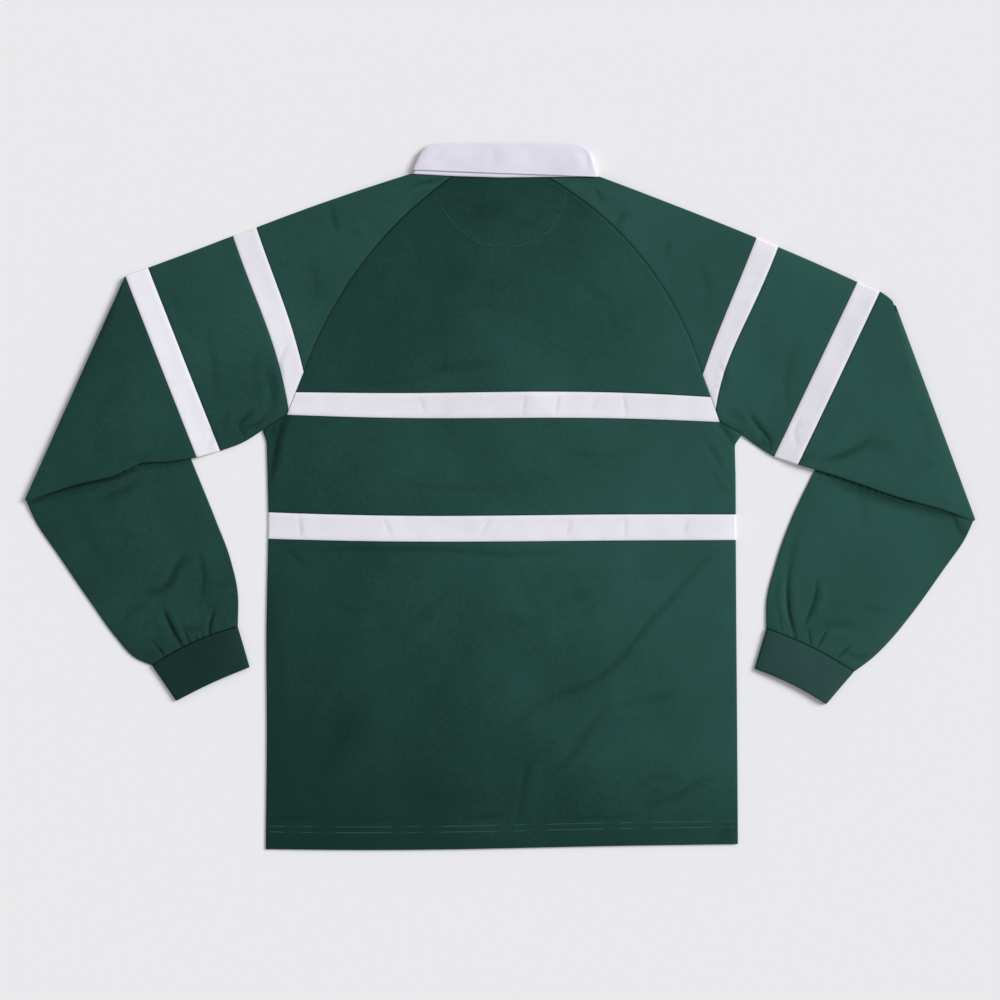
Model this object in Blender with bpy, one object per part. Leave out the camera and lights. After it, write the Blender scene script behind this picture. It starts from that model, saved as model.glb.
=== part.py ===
"""Rugby shirt with raglan sleeves, laid flat on its front with both sleeves folded under at the elbow.

X runs across the shirt, Y from the hem (-) to the collar (+) and Z up from the surface it lies on.
The origin is on that surface, under the middle of the shirt's outline. Sizes are millimetres
until a mesh is made, and metres after that. The shirt is face down, so its left sleeve is at -X.
"""
import math

import bmesh
import bpy
from mathutils import Vector

MM = 0.001


def between(start, end, share):
    """The plan point a share of the way from start to end."""
    return (start[0] + (end[0] - start[0]) * share, start[1] + (end[1] - start[1]) * share)


# Cloth and the way it is stacked
JERSEY = 1.2            # wall of the heavy cotton jersey
TWILL = 1.5             # wall of the doubled collar twill
RIB = 1.8               # wall of the folded rib cuff
LAYER_GAP = 0.5         # air between the two layers of a flat tube
SEAM = 0.3              # gap that separate pieces keep
TUBE_HALF = (JERSEY + LAYER_GAP) / 2
TUBE_OUTER = TUBE_HALF + JERSEY / 2
ELBOW_GAP = 0.8         # air between the upper sleeve and the forearm folded under it
ELBOW_RADIUS = TUBE_OUTER + ELBOW_GAP / 2
ELBOW_HEIGHT = 2 * TUBE_OUTER + ELBOW_GAP / 2
UPPER_RISE = ELBOW_HEIGHT + ELBOW_RADIUS
FLAT_RISE = TUBE_OUTER
BAND_RISE = FLAT_RISE + 0.8     # where the lower hoop leaves the surface to climb onto the forearm

# Collar: distances of its two leaves from the middle of the folded stack
STAND_OFFSET = TWILL / 2 + SEAM / 2
FALL_OFFSET = STAND_OFFSET + TWILL + LAYER_GAP
COLLAR_MIDDLE = FALL_OFFSET + TWILL / 2
COLLAR_LIFT = TWILL + SEAM      # what the collar's front leaves lift the front panel by
STAND_LIFT = 0.4                # what the front of the stand lifts the back panel by

# Front opening
SLIT_HALF = 15.0
SLIT_BOTTOM = 138.0
PLACKET_TOP = 271.5
BUTTON_RADIUS = 6.0
BUTTON_HEIGHT = 1.5
BUTTON_PLACES = (250.0, 202.0, 154.0)
UNDERLAP_LIFT = JERSEY + 2 * SEAM - LAYER_GAP

# How finely a sheet is divided
SEAM_STEPS = 9          # rows along a raglan seam
BODY_COLUMNS = 16
CHEST_COLUMNS = 24
FOLD_STEPS = 4          # steps round the half circle of a fold
ELBOW_STEPS = 6

# Corners that neighbouring pieces share, left (-1) and right (+1), in plan
NECK_SIDE = {-1: (-100.0, 360.0), 1: (111.0, 359.0)}
NECK_BACK = {-1: (-52.4, 355.6), 1: (53.6, 355.6)}
NECK_FRONT = {-1: (-85.0, 316.0), 1: (95.0, 315.0)}
NECK_BACK_MIDDLE = 353.6
NECK_FRONT_MIDDLE = 272.0
HOOP_CORNER = {-1: (-219.7, 139.4), 1: (227.2, 136.3)}     # raglan seam meets the upper sleeve hoop
RAGLAN_LOW = {-1: (-238.9, 91.5), 1: (246.6, 83.4)}        # lowest point of the straight raglan seam
UNDERARM = {-1: (-264.1, 73.4), 1: (267.6, 67.6)}
STRAIGHT_SEAM = {       # where the body's hoop begins and the sleeve's hoop ends on the straight seam
    side: {"hoop": between(HOOP_CORNER[side], RAGLAN_LOW[side], 0.47),
           "tip": between(HOOP_CORNER[side], RAGLAN_LOW[side], 0.88)}
    for side in (-1, 1)
}
BACK_BULGE = {-1: 21.5, 1: 27.5}        # rise of the raglan curve over its chord
FRONT_BULGE = {-1: 14.0, 1: 16.0}
SHOULDER_BULGE = {-1: 5.0, 1: 3.5}

# Rows of the body below the raglan curve: left end, height at the middle, right end
BODY_ROWS = {
    "hoop_upper_top": {"left": STRAIGHT_SEAM[-1]["hoop"], "middle": 117.0,
                       "right": STRAIGHT_SEAM[1]["hoop"]},
    "hoop_upper_low": {"left": RAGLAN_LOW[-1], "middle": 87.9, "right": RAGLAN_LOW[1]},
    "underarm": {"left": UNDERARM[-1], "middle": 71.0, "right": UNDERARM[1]},
    "below_arm": {"left": (-261.4, 61.0), "middle": 59.0, "right": (263.2, 56.0)},
    "ribs": {"left": (-260.4, 24.0), "middle": 22.0, "right": (263.8, 22.0)},
    "hoop_lower_top": {"left": (-259.4, -17.7), "middle": -21.3, "right": (263.9, -20.5)},
    "hoop_lower_low": {"left": (-259.6, -47.4), "middle": -50.4, "right": (263.8, -49.1)},
    "waist": {"left": (-262.4, -150.0), "middle": -152.0, "right": (264.6, -150.0)},
    "hip": {"left": (-261.8, -270.0), "middle": -271.0, "right": (265.6, -268.0)},
    "hem": {"left": (-262.4, -395.4), "middle": -395.5, "right": (266.1, -389.8)},
}
BODY_PANELS = {
    "hoop_upper": ("hoop_upper_top", "hoop_upper_low"),
    "middle": ("hoop_upper_low", "underarm", "below_arm", "ribs", "hoop_lower_top"),
    "hoop_lower": ("hoop_lower_top", "hoop_lower_low"),
    "lower": ("hoop_lower_low", "waist", "hip", "hem"),
}

# Sleeves: each row is one straight section from the overarm edge to the underarm edge
SLEEVE_TOP = {
    -1: {"hoop_in": (-272.9, 301.6), "hoop_out": (-299.2, 292.3)},
    1: {"hoop_in": (287.6, 290.1), "hoop_out": (312.1, 279.9)},
}
UPPER_SLEEVE = {
    -1: {
        "middle": {"over": (-346.5, 274.2), "under": (-288.0, 60.6)},
        "hoop_in": {"over": (-393.0, 256.4), "under": (-312.3, 51.0)},
        "hoop_out": {"over": (-415.5, 247.6), "under": (-339.1, 43.7)},
        "fan_1": {"over": (-417.6, 246.6), "under": (-398.0, 31.0)},
        "fan_2": {"over": (-419.2, 244.6), "under": (-468.0, 13.5)},
    },
    1: {
        "middle": {"over": (357.5, 260.2), "under": (288.6, 56.2)},
        "hoop_in": {"over": (400.5, 240.6), "under": (307.1, 44.6)},
        "hoop_out": {"over": (425.6, 229.7), "under": (333.6, 35.6)},
        "fan_1": {"over": (433.0, 225.0), "under": (395.0, 14.8)},
        "fan_2": {"over": (439.0, 219.6), "under": (462.0, -5.2)},
    },
}
ELBOW_FOLD = {
    -1: {"over": (-417.4, 241.6), "under": (-530.2, -5.0)},
    1: {"over": (440.4, 214.0), "under": (530.1, -27.6)},
}
FOREARM = {
    -1: {
        "elbow": {"over": (-390.0, 153.0), "under": (-520.0, -28.5)},
        "upper": {"over": (-346.0, 42.0), "under": (-494.0, -67.0)},
        "middle": {"over": (-318.4, -26.3), "under": (-457.0, -121.0)},
        "lower": {"over": (-301.7, -71.1), "under": (-431.0, -157.0)},
        "gather": {"over": (-293.2, -112.0), "under": (-409.4, -178.2)},
        "cuff_seam": {"over": (-293.6, -145.6), "under": (-390.0, -189.2)},
        "cuff_edge": {"over": (-280.3, -191.0), "under": (-362.8, -229.0)},
    },
    1: {
        "elbow": {"over": (405.0, 128.0), "under": (521.0, -48.0)},
        "upper": {"over": (347.4, 18.5), "under": (496.0, -84.0)},
        "middle": {"over": (323.0, -34.7), "under": (463.0, -130.0)},
        "lower": {"over": (308.6, -77.0), "under": (435.0, -164.0)},
        "gather": {"over": (299.0, -117.0), "under": (414.0, -184.0)},
        "cuff_seam": {"over": (298.6, -147.7), "under": (397.0, -196.4)},
        "cuff_edge": {"over": (285.4, -192.8), "under": (366.0, -232.7)},
    },
}
# Share of the way from the overarm to the underarm edge, with the tip of the upper hoop on one of them
SLEEVE_COLUMNS = (0.0, 0.14, 0.28, 0.42, 0.56, 0.70, 0.84, 0.865, 1.0)
FOREARM_COLUMNS = tuple(step / 14 for step in range(15))
PUFF = 2.2              # how far the gathered cloth stands up above the cuff
GATHERS = {             # each valley: place across the cuff, depth, and width, both sleeves
    -1: (
        {"place": 0.32, "depth": 1.4, "width": 0.07},
        {"place": 0.55, "depth": 1.0, "width": 0.05},
        {"place": 0.70, "depth": 1.7, "width": 0.08},
        {"place": 0.86, "depth": 1.0, "width": 0.06},
    ),
    1: (
        {"place": 0.30, "depth": 1.7, "width": 0.08},
        {"place": 0.46, "depth": 1.2, "width": 0.06},
        {"place": 0.62, "depth": 1.1, "width": 0.06},
        {"place": 0.84, "depth": 1.0, "width": 0.06},
    ),
}

# Collar, from the side of the neck to the middle: neck seam, top fold and free edge
COLLAR_SIDE = {
    -1: {"seam": (-94.0, 361.2), "fold": (-78.0, 388.0), "edge": (-93.4, 365.2)},
    1: {"seam": (104.2, 361.6), "fold": (97.6, 386.0), "edge": (105.4, 362.4)},
}
COLLAR_BACK = {
    -1: (
        {"seam": 0.30, "fold": (-67.0, 393.4), "edge": (-82.0, 365.4)},
        {"seam": 0.62, "fold": (-54.0, 395.4), "edge": (-66.0, 364.6)},
        {"seam": 1.00, "fold": (-42.0, 396.0), "edge": (-49.0, 363.6)},
    ),
    1: (
        {"seam": 0.30, "fold": (88.0, 393.4), "edge": (90.0, 360.2)},
        {"seam": 0.62, "fold": (74.0, 395.4), "edge": (72.0, 360.8)},
        {"seam": 1.00, "fold": (50.0, 396.0), "edge": (52.0, 361.0)},
    ),
}
COLLAR_BACK_MIDDLE = {"fold": (2.0, 396.0), "edge": (2.0, 361.4)}
COLLAR_FRONT_TURN = {"fold": (-74.0, 372.0), "edge": (-103.0, 336.0)}
COLLAR_FRONT = {         # bowed lines the fold and the free edge follow from the turn to the middle
    "fold": {"start": (-65.0, 352.0), "end": (-3.0, 303.4), "bulge": -5.0},
    "edge": {"start": (-102.0, 310.0), "end": (-50.0, 219.0), "bulge": -6.0},
}
NECK_STEPS = 10         # columns of the front from a raglan seam to the slit
COLLAR_STEP = 0.4       # how far the collar's row at the shoulder stands off the neck seam
COLLAR_MEET = 3.0       # half the gap between the collar's two front ends


def bowed(start, end, bulge, share):
    """A point on a shallow curve from start to end that stands bulge above its chord."""
    x, y = between(start, end, share)
    chord = Vector((end[0] - start[0], end[1] - start[1])).normalized()
    rise = 4 * share * (1 - share) * bulge
    side = 1 if chord.x > 0 else -1
    return (x - chord.y * rise * side, y + chord.x * rise * side)


def fade(distance, reach):
    """1 up to distance 0, 0 from distance reach, and smooth between."""
    step = min(max(1 - distance / reach, 0.0), 1.0)
    return step * step * (3 - 2 * step)


def collar_zone(x, y):
    """1 over the collar's front leaves, fading to 0 round them."""
    return fade(math.hypot((x - 5) / 125, (y - 310) / 112) - 1, 0.6)


def front_height(x, y):
    """Middle of the front layer above the surface: it rides over the collar leaves and buttons."""
    placket_zone = fade(max(abs(x) - 24, y - 300, 126 - y), 60)
    return JERSEY / 2 + COLLAR_LIFT * max(collar_zone(x, y), placket_zone)


def back_height(x, y):
    """Middle of the back layer: over the front layer, the front stand and the placket's inner strip."""
    underlap_zone = fade(max(abs(x) - 20, y - 280, 128 - y), 60)
    cover = STAND_LIFT * collar_zone(x, y) + UNDERLAP_LIFT * underlap_zone
    return front_height(x, y) + 2 * TUBE_HALF + cover


def wall(name, rows, thickness, material, ring=False, missing=()):
    """A closed solid of cloth: rows of (middle point, normal) pairs, half its thickness each way."""
    mesh_in_progress = bmesh.new()
    half = thickness / 2
    sides = []
    for direction in (1, -1):
        sides.append([[mesh_in_progress.verts.new((point + normal * half * direction) * MM)
                       for point, normal in row] for row in rows])
    outer, inner = sides
    width = len(rows[0])
    columns = width if ring else width - 1
    edges = set()
    for i in range(len(rows) - 1):
        for j in range(columns):
            if (i, j) in missing:
                continue
            loop = ((i, j), (i, (j + 1) % width), (i + 1, (j + 1) % width), (i + 1, j))
            for corners in (loop[:3], loop[2:] + loop[:1]):
                mesh_in_progress.faces.new([outer[a][b] for a, b in corners])
                mesh_in_progress.faces.new([inner[a][b] for a, b in reversed(corners)])
            edges.update(zip(loop, loop[1:] + loop[:1]))
    for start, end in sorted(edges):
        if (end, start) not in edges:
            rim = (outer[end[0]][end[1]], outer[start[0]][start[1]],
                   inner[start[0]][start[1]], inner[end[0]][end[1]])
            mesh_in_progress.faces.new(rim)
    loose = [vert for vert in mesh_in_progress.verts if not vert.link_faces]
    bmesh.ops.delete(mesh_in_progress, geom=loose, context="VERTS")
    bmesh.ops.recalc_face_normals(mesh_in_progress, faces=mesh_in_progress.faces)
    return finish(name, mesh_in_progress, material)


def finish(name, mesh_in_progress, material):
    """Turn a bmesh into a named, shaded object of its own."""
    mesh = bpy.data.meshes.new(name)
    mesh_in_progress.to_mesh(mesh)
    mesh_in_progress.free()
    mesh.materials.append(material)
    mesh.shade_smooth()
    mesh.set_sharp_from_angle(angle=math.radians(40))
    piece = bpy.data.objects.new(name, mesh)
    bpy.context.scene.collection.objects.link(piece)
    return piece


def pulled(row, neighbour):
    """The row, drawn back half a seam gap towards its neighbour row."""
    moved = []
    last = len(row) - 1
    for index, ((point, normal), (target, _)) in enumerate(zip(row, neighbour)):
        inward = (target - point).to_2d().normalized()
        along = (row[min(index + 1, last)][0] - row[max(index - 1, 0)][0]).to_2d().normalized()
        slant = max(abs(inward.cross(along)), 0.4)
        step = inward * SEAM / 2 / slant
        moved.append((point + step.to_3d(), normal))
    return moved


def with_seams(rows, ring=False):
    """Draw the ends of a sheet, and the sides of an open one, back from its seams."""
    rows = [pulled(rows[0], rows[1])] + rows[1:-1] + [pulled(rows[-1], rows[-2])]
    if ring:
        return rows
    columns = [list(column) for column in zip(*rows)]
    columns = [pulled(columns[0], columns[1])] + columns[1:-1] + [pulled(columns[-1], columns[-2])]
    return [list(row) for row in zip(*columns)]


def on_row(left, middle, right, x):
    """The point at x on the even curve through a row's two ends and the height at its middle."""
    share = (x - left[0]) / (right[0] - left[0])
    sag = middle - (left[1] + right[1]) / 2
    return (x, between(left, right, share)[1] + 4 * share * (1 - share) * sag)


def panel_row(left, middle, right, shares, height):
    """One row across a panel, with a column at each share of its width."""
    row = []
    for share in shares:
        x, y = on_row(left, middle, right, between(left, right, share)[0])
        row.append((Vector((x, y, height(x, y))), Vector((0, 0, 1))))
    return row


def raglan_point(side, top, bulges, share):
    """A point of a raglan seam between the neck and the upper sleeve hoop."""
    return bowed(top[side], HOOP_CORNER[side], bulges[side], share)


def body_panels(layer, height, materials):
    """The straight-seamed panels of the front or the back, from the upper hoop to the hem."""
    shares = [step / BODY_COLUMNS for step in range(BODY_COLUMNS + 1)]
    for part, names in BODY_PANELS.items():
        rows = [panel_row(row["left"], row["middle"], row["right"], shares, height)
                for row in (BODY_ROWS[name] for name in names)]
        material = materials["white"] if "hoop" in part else materials["green"]
        wall(f"{layer}_{part}", with_seams(rows), JERSEY, material)


def raglan_rows(top, bulges, top_middle):
    """Ends and middle heights of the rows between the neck and the body's upper hoop."""
    hoop = BODY_ROWS["hoop_upper_top"]
    rows = []
    for step in range(SEAM_STEPS + 1):
        share = step / SEAM_STEPS
        left = raglan_point(-1, top, bulges, share)
        right = raglan_point(1, top, bulges, share)
        level = (left[1] + right[1]) / 2
        hang = (top_middle - (top[-1][1] + top[1][1]) / 2) * (1 - share) ** 2
        rows.append((left, level + hang, right))
    rows.append((hoop["left"], hoop["middle"], hoop["right"]))
    return rows


def back_upper(materials):
    shares = [step / CHEST_COLUMNS for step in range(CHEST_COLUMNS + 1)]
    rows = [panel_row(left, middle, right, shares, back_height)
            for left, middle, right in raglan_rows(NECK_BACK, BACK_BULGE, NECK_BACK_MIDDLE)]
    wall("back_upper", with_seams(rows), JERSEY, materials["green"])


def front_neck(share_from_side, side):
    """A point of the front neck seam, from the raglan seam to the slit."""
    x = between(NECK_FRONT[side], (SLIT_HALF * side, 0), share_from_side)[0]
    return on_row(NECK_FRONT[-1], NECK_FRONT_MIDDLE, NECK_FRONT[1], x)


def front_upper(materials):
    """The front above its upper hoop, slit down the middle for the placket."""
    rows = []
    shares = [step / NECK_STEPS for step in range(NECK_STEPS + 1)]
    for left, middle, right in raglan_rows(NECK_FRONT, FRONT_BULGE, NECK_FRONT_MIDDLE):
        row = []
        for side, end in ((-1, left), (1, right)):
            half = [on_row(left, middle, right, between(end, (SLIT_HALF * side, 0), share)[0])
                    for share in shares]
            row += half if side == -1 else half[::-1]
        rows.append(row)
    centre = NECK_STEPS
    foot = rows[SEAM_STEPS]
    foot[centre] = (foot[centre][0], SLIT_BOTTOM)
    foot[centre + 1] = (foot[centre + 1][0], SLIT_BOTTOM)
    sheet = [[(Vector((x, y, front_height(x, y))), Vector((0, 0, 1))) for x, y in row] for row in rows]
    missing = {(i, centre) for i in range(SEAM_STEPS)}
    wall("front_upper", with_seams(sheet), JERSEY, materials["green"], missing=missing)


def strip(name, half_width, bottom, top, extra, material):
    """A straight strip of the placket, at the height of the front panel plus extra."""
    rows = []
    for step in range(7):
        y = top + (bottom - top) * step / 6
        rows.append([(Vector((x, y, front_height(x, y) + extra)), Vector((0, 0, 1)))
                     for x in (-half_width, 0.0, half_width)])
    wall(name, rows, JERSEY, material)


def placket(materials):
    strip("placket_outer", SLIT_HALF - SEAM, SLIT_BOTTOM + SEAM, PLACKET_TOP, 0.0, materials["white"])
    strip("placket_inner", SLIT_HALF - 2, SLIT_BOTTOM + 2, PLACKET_TOP - 1, JERSEY + SEAM,
          materials["white"])


def buttons(materials):
    """Plain rubber discs on the outside of the placket, which the shirt lies on."""
    for number, y in enumerate(BUTTON_PLACES, 1):
        disc = bmesh.new()
        bmesh.ops.create_cone(disc, cap_ends=True, segments=20, radius1=BUTTON_RADIUS * MM,
                              radius2=BUTTON_RADIUS * MM, depth=BUTTON_HEIGHT * MM)
        rims = [edge for edge in disc.edges if abs(edge.verts[0].co.z - edge.verts[1].co.z) < MM / 100]
        bmesh.ops.bevel(disc, geom=rims, offset=0.35 * MM, offset_type="OFFSET", affect="EDGES",
                        segments=2, profile=0.5, material=-1)
        bmesh.ops.translate(disc, verts=disc.verts, vec=(0, y * MM, BUTTON_HEIGHT / 2 * MM))
        finish(f"button_{number}", disc, materials["rubber"])


def half_circle(start_angle):
    """Angles inside a fold's half circle, without its two ends."""
    return [start_angle - math.pi * step / FOLD_STEPS for step in range(1, FOLD_STEPS)]


def sleeve_top_row(over, back_end, front_end):
    """A row of the sleeve head: back layer, fold at the overarm edge, front layer."""
    across = (Vector(back_end) + Vector(front_end)) / 2 - Vector(over)
    outward = -across.normalized()
    centre = Vector(over) - outward * TUBE_OUTER
    up = Vector((0, 0, 1))
    row = []
    for share in reversed(SLEEVE_COLUMNS):
        x, y = between(centre, back_end, share)
        row.append((Vector((x, y, back_height(x, y))), up))
    low = front_height(centre.x, centre.y)
    high = back_height(centre.x, centre.y)
    for angle in half_circle(math.pi / 2):
        normal = Vector((outward.x * math.cos(angle), outward.y * math.cos(angle), math.sin(angle)))
        row.append((Vector((centre.x, centre.y, (low + high) / 2)) + normal * (high - low) / 2, normal))
    for share in SLEEVE_COLUMNS:
        x, y = between(centre, front_end, share)
        row.append((Vector((x, y, front_height(x, y))), -up))
    return row


def sleeve_top(side, name, materials):
    """The raglan head of the sleeve and its upper hoop, each one strip folded at the overarm edge."""
    head = []
    corners = SLEEVE_TOP[side]
    for step in range(SEAM_STEPS + 1):
        share = step / SEAM_STEPS
        over = bowed(NECK_SIDE[side], corners["hoop_in"], SHOULDER_BULGE[side], share)
        head.append(sleeve_top_row(over, raglan_point(side, NECK_BACK, BACK_BULGE, share),
                                   raglan_point(side, NECK_FRONT, FRONT_BULGE, share)))
    wall(f"{name}_head", with_seams(head), JERSEY, materials["green"])
    tip = STRAIGHT_SEAM[side]["tip"]
    hoop = [sleeve_top_row(corners["hoop_in"], HOOP_CORNER[side], HOOP_CORNER[side]),
            sleeve_top_row(corners["hoop_out"], tip, tip)]
    wall(f"{name}_hoop_upper", with_seams(hoop), JERSEY, materials["white"])


def path_point(path, shares, share):
    """The plan point at a share of the way along a path whose corners have their own shares."""
    for start, end, low, high in zip(path, path[1:], shares, shares[1:]):
        if share <= high:
            return Vector(between(start, end, (share - low) / (high - low)))
    return Vector(path[-1])


def tube_row(path, columns, shift, up, wall_thickness=JERSEY, corners=(0.0, 1.0), puff=None):
    """A closed ring round a flattened tube: upper layer, underarm fold, lower layer, overarm fold."""
    half = (wall_thickness + LAYER_GAP) / 2
    inset = half + wall_thickness / 2
    over, under = Vector(path[0]), Vector(path[-1])
    over_way = (Vector(path[0]) - Vector(path[1])).normalized()
    under_way = (Vector(path[-1]) - Vector(path[-2])).normalized()
    path = [over - over_way * inset] + list(path[1:-1]) + [under - under_way * inset]
    row = []

    def layer(shares, direction):
        for share in shares:
            plan = path_point(path, corners, share)
            point = Vector((plan.x, plan.y, 0)) + shift + up * half * direction
            if puff and direction < 0:
                point.z += puff(share)
            row.append((point, up * direction))

    def fold(centre, way, start_angle):
        for angle in half_circle(start_angle):
            normal = Vector((way.x, way.y, 0)) * abs(math.cos(angle)) + up * math.sin(angle)
            row.append((Vector((centre[0], centre[1], 0)) + shift + normal * half, normal))

    layer(columns, 1)
    fold(path[-1], under_way, math.pi / 2)
    layer(columns[::-1], -1)
    fold(path[0], over_way, -math.pi / 2)
    return row


def flat_row(section, rise, columns=SLEEVE_COLUMNS):
    """A ring of a tube that lies flat, its middle at height rise."""
    return tube_row((section["over"], section["under"]), columns, Vector((0, 0, rise)), Vector((0, 0, 1)))


def sleeve_middle(side, name, materials):
    """The green tube between the two sleeve hoops; its inner end follows hoop and raglan seam."""
    corners = SLEEVE_TOP[side]
    bent = (corners["hoop_out"], STRAIGHT_SEAM[side]["tip"], RAGLAN_LOW[side], UNDERARM[side])
    rows = [tube_row(bent, SLEEVE_COLUMNS, Vector((0, 0, FLAT_RISE)), Vector((0, 0, 1)),
                     corners=(0.0, 0.84, 0.865, 1.0))]
    rows.append(flat_row(UPPER_SLEEVE[side]["middle"], FLAT_RISE))
    rows.append(flat_row(UPPER_SLEEVE[side]["hoop_in"], BAND_RISE))
    wall(f"{name}_middle", with_seams(rows, ring=True), JERSEY, materials["green"], ring=True)


def sleeve_hoop_lower(side, name, materials):
    """The lower white hoop, which climbs from the surface onto the folded forearm."""
    sections = UPPER_SLEEVE[side]
    rows = [flat_row(sections["hoop_in"], BAND_RISE), flat_row(sections["hoop_out"], UPPER_RISE)]
    wall(f"{name}_hoop_lower", with_seams(rows, ring=True), JERSEY, materials["white"], ring=True)


def gathered(side, strength):
    """How far the forearm's upper layer stands up across the sleeve, with a valley at each gather."""
    def height(share):
        arch = min(share, 1 - share) * 4
        rise = PUFF * min(arch, 1.0) ** 0.7
        for valley in GATHERS[side]:
            offset = (share - valley["place"]) / valley["width"]
            rise -= valley["depth"] * math.exp(-offset * offset)
        return max(rise, 0.0) * strength
    return height


def sleeve_lower(side, name, materials):
    """From the lower hoop out to the elbow, round the fold and back underneath down to the cuff."""
    sections = UPPER_SLEEVE[side]
    rows = [flat_row(sections[key], UPPER_RISE, FOREARM_COLUMNS) for key in ("hoop_out", "fan_1", "fan_2")]
    fold = ELBOW_FOLD[side]
    along = (Vector(fold["under"]) - Vector(fold["over"])).normalized()
    outward = Vector((along.y, -along.x, 0))
    if outward.x * side < 0:
        outward = -outward
    for step in range(ELBOW_STEPS + 1):
        angle = math.pi * step / ELBOW_STEPS
        up = outward * math.sin(angle) + Vector((0, 0, math.cos(angle)))
        shift = up * ELBOW_RADIUS + Vector((0, 0, ELBOW_HEIGHT))
        rows.append(tube_row((fold["over"], fold["under"]), FOREARM_COLUMNS, shift, up))
    down = Vector((0, 0, -1))
    strengths = {"elbow": 0.0, "upper": 0.0, "middle": 0.0, "lower": 0.3, "gather": 0.8, "cuff_seam": 1.0}
    for key, strength in strengths.items():
        section = FOREARM[side][key]
        puff = gathered(side, strength) if strength else None
        rows.append(tube_row((section["over"], section["under"]), FOREARM_COLUMNS,
                             Vector((0, 0, FLAT_RISE)), down, puff=puff))
    wall(f"{name}_lower", with_seams(rows, ring=True), JERSEY, materials["green"], ring=True)


def cuff(side, name, materials):
    """The rib cuff, one short tube."""
    rows = []
    height = RIB + LAYER_GAP / 2
    sections = FOREARM[side]
    for share in (0.0, 0.5, 1.0):
        over = between(sections["cuff_seam"]["over"], sections["cuff_edge"]["over"], share)
        under = between(sections["cuff_seam"]["under"], sections["cuff_edge"]["under"], share)
        rows.append(tube_row((over, under), SLEEVE_COLUMNS, Vector((0, 0, height)), Vector((0, 0, -1)),
                             wall_thickness=RIB))
    wall(f"{name}_cuff", with_seams(rows, ring=True), RIB, materials["rib"], ring=True)


def collar_row(seam, fold, edge, angle, outward):
    """One section of the collar: stand up to the fold, half circle, fall down to the free edge.

    angle is 0 where the fall lies on top, at the back, and pi where it lies underneath, at the front.
    """
    up = outward * math.sin(angle) + Vector((0, 0, math.cos(angle)))
    seam, fold, edge = (Vector((point[0], point[1], COLLAR_MIDDLE)) for point in (seam, fold, edge))
    rise = (fold - seam).normalized()
    bend = (FALL_OFFSET - STAND_OFFSET) / 2
    centre = fold - rise * (bend + TWILL / 2)
    row = [(seam + (centre - seam) * share + up * STAND_OFFSET, -up) for share in (0.0, 0.5, 1.0)]
    for angle_round in half_circle(math.pi / 2):
        normal = rise * math.cos(angle_round) - up * math.sin(angle_round)
        row.append((centre + up * (STAND_OFFSET + bend) + normal * bend, normal))
    row += [(centre + (edge - centre) * share + up * FALL_OFFSET, up) for share in (0.0, 0.5, 1.0)]
    return row


def collar_half(side):
    """Collar sections from the middle of the back round one side of the neck to the middle front."""
    corner = COLLAR_SIDE[side]
    axis = (Vector(corner["fold"]) - Vector(corner["seam"])).normalized()
    outward = Vector((axis.y * side, -axis.x * side, 0))
    rows = []
    for station in reversed(COLLAR_BACK[side]):
        x, y = between(NECK_SIDE[side], NECK_BACK[side], station["seam"])
        rows.append(collar_row((x, y + SEAM), station["fold"], station["edge"], 0.0, outward))
    for step in range(ELBOW_STEPS + 1):
        angle = math.pi * step / ELBOW_STEPS
        rows.append(collar_row(corner["seam"], corner["fold"], corner["edge"], angle, outward))
    widen = NECK_SIDE[side][0] / NECK_SIDE[-1][0]

    def placed(point):
        return (point[0] * widen, point[1])

    x, y = between(NECK_SIDE[side], NECK_FRONT[side], 0.5)
    turn = COLLAR_FRONT_TURN
    rows.append(collar_row((x - side * COLLAR_STEP, y + SEAM), placed(turn["fold"]), placed(turn["edge"]),
                           math.pi, outward))
    seams = [front_neck(step / NECK_STEPS, side) for step in range(NECK_STEPS + 1)]
    seams.append((COLLAR_MEET * side, seams[-1][1]))
    for step, seam in enumerate(seams):
        fold, edge = (placed(bowed(way["start"], way["end"], way["bulge"], step / (NECK_STEPS + 1)))
                      for way in (COLLAR_FRONT["fold"], COLLAR_FRONT["edge"]))
        rows.append(collar_row((seam[0], seam[1] + SEAM), fold, edge, math.pi, outward))
    return rows


def collar(materials):
    """The whole collar as one folded strip, open at the middle of the front."""
    middle = collar_row((2.0, NECK_BACK_MIDDLE + SEAM), COLLAR_BACK_MIDDLE["fold"],
                        COLLAR_BACK_MIDDLE["edge"], 0.0, Vector((0, 0, 0)))
    rows = collar_half(-1)[::-1] + [middle] + collar_half(1)
    wall("collar", rows, TWILL, materials["white"])


def make_material(name, colour, roughness):
    material = bpy.data.materials.new(name)
    material.use_nodes = True
    shader = material.node_tree.nodes["Principled BSDF"]
    shader.inputs["Base Color"].default_value = (*colour, 1.0)
    shader.inputs["Roughness"].default_value = roughness
    shader.inputs["Metallic"].default_value = 0.0
    return material


def main():
    for item in list(bpy.data.objects):
        bpy.data.objects.remove(item, do_unlink=True)
    materials = {
        "green": make_material("green_jersey", (0.022, 0.070, 0.055), 0.85),
        "white": make_material("white_twill", (0.72, 0.71, 0.78), 0.85),
        "rib": make_material("green_rib", (0.017, 0.052, 0.042), 0.9),
        "rubber": make_material("white_rubber", (0.75, 0.75, 0.74), 0.55),
    }
    back_upper(materials)
    front_upper(materials)
    body_panels("back", back_height, materials)
    body_panels("front", front_height, materials)
    placket(materials)
    buttons(materials)
    collar(materials)
    for side, name in ((-1, "sleeve_left"), (1, "sleeve_right")):
        sleeve_top(side, name, materials)
        sleeve_middle(side, name, materials)
        sleeve_hoop_lower(side, name, materials)
        sleeve_lower(side, name, materials)
        cuff(side, name, materials)


main()
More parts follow.
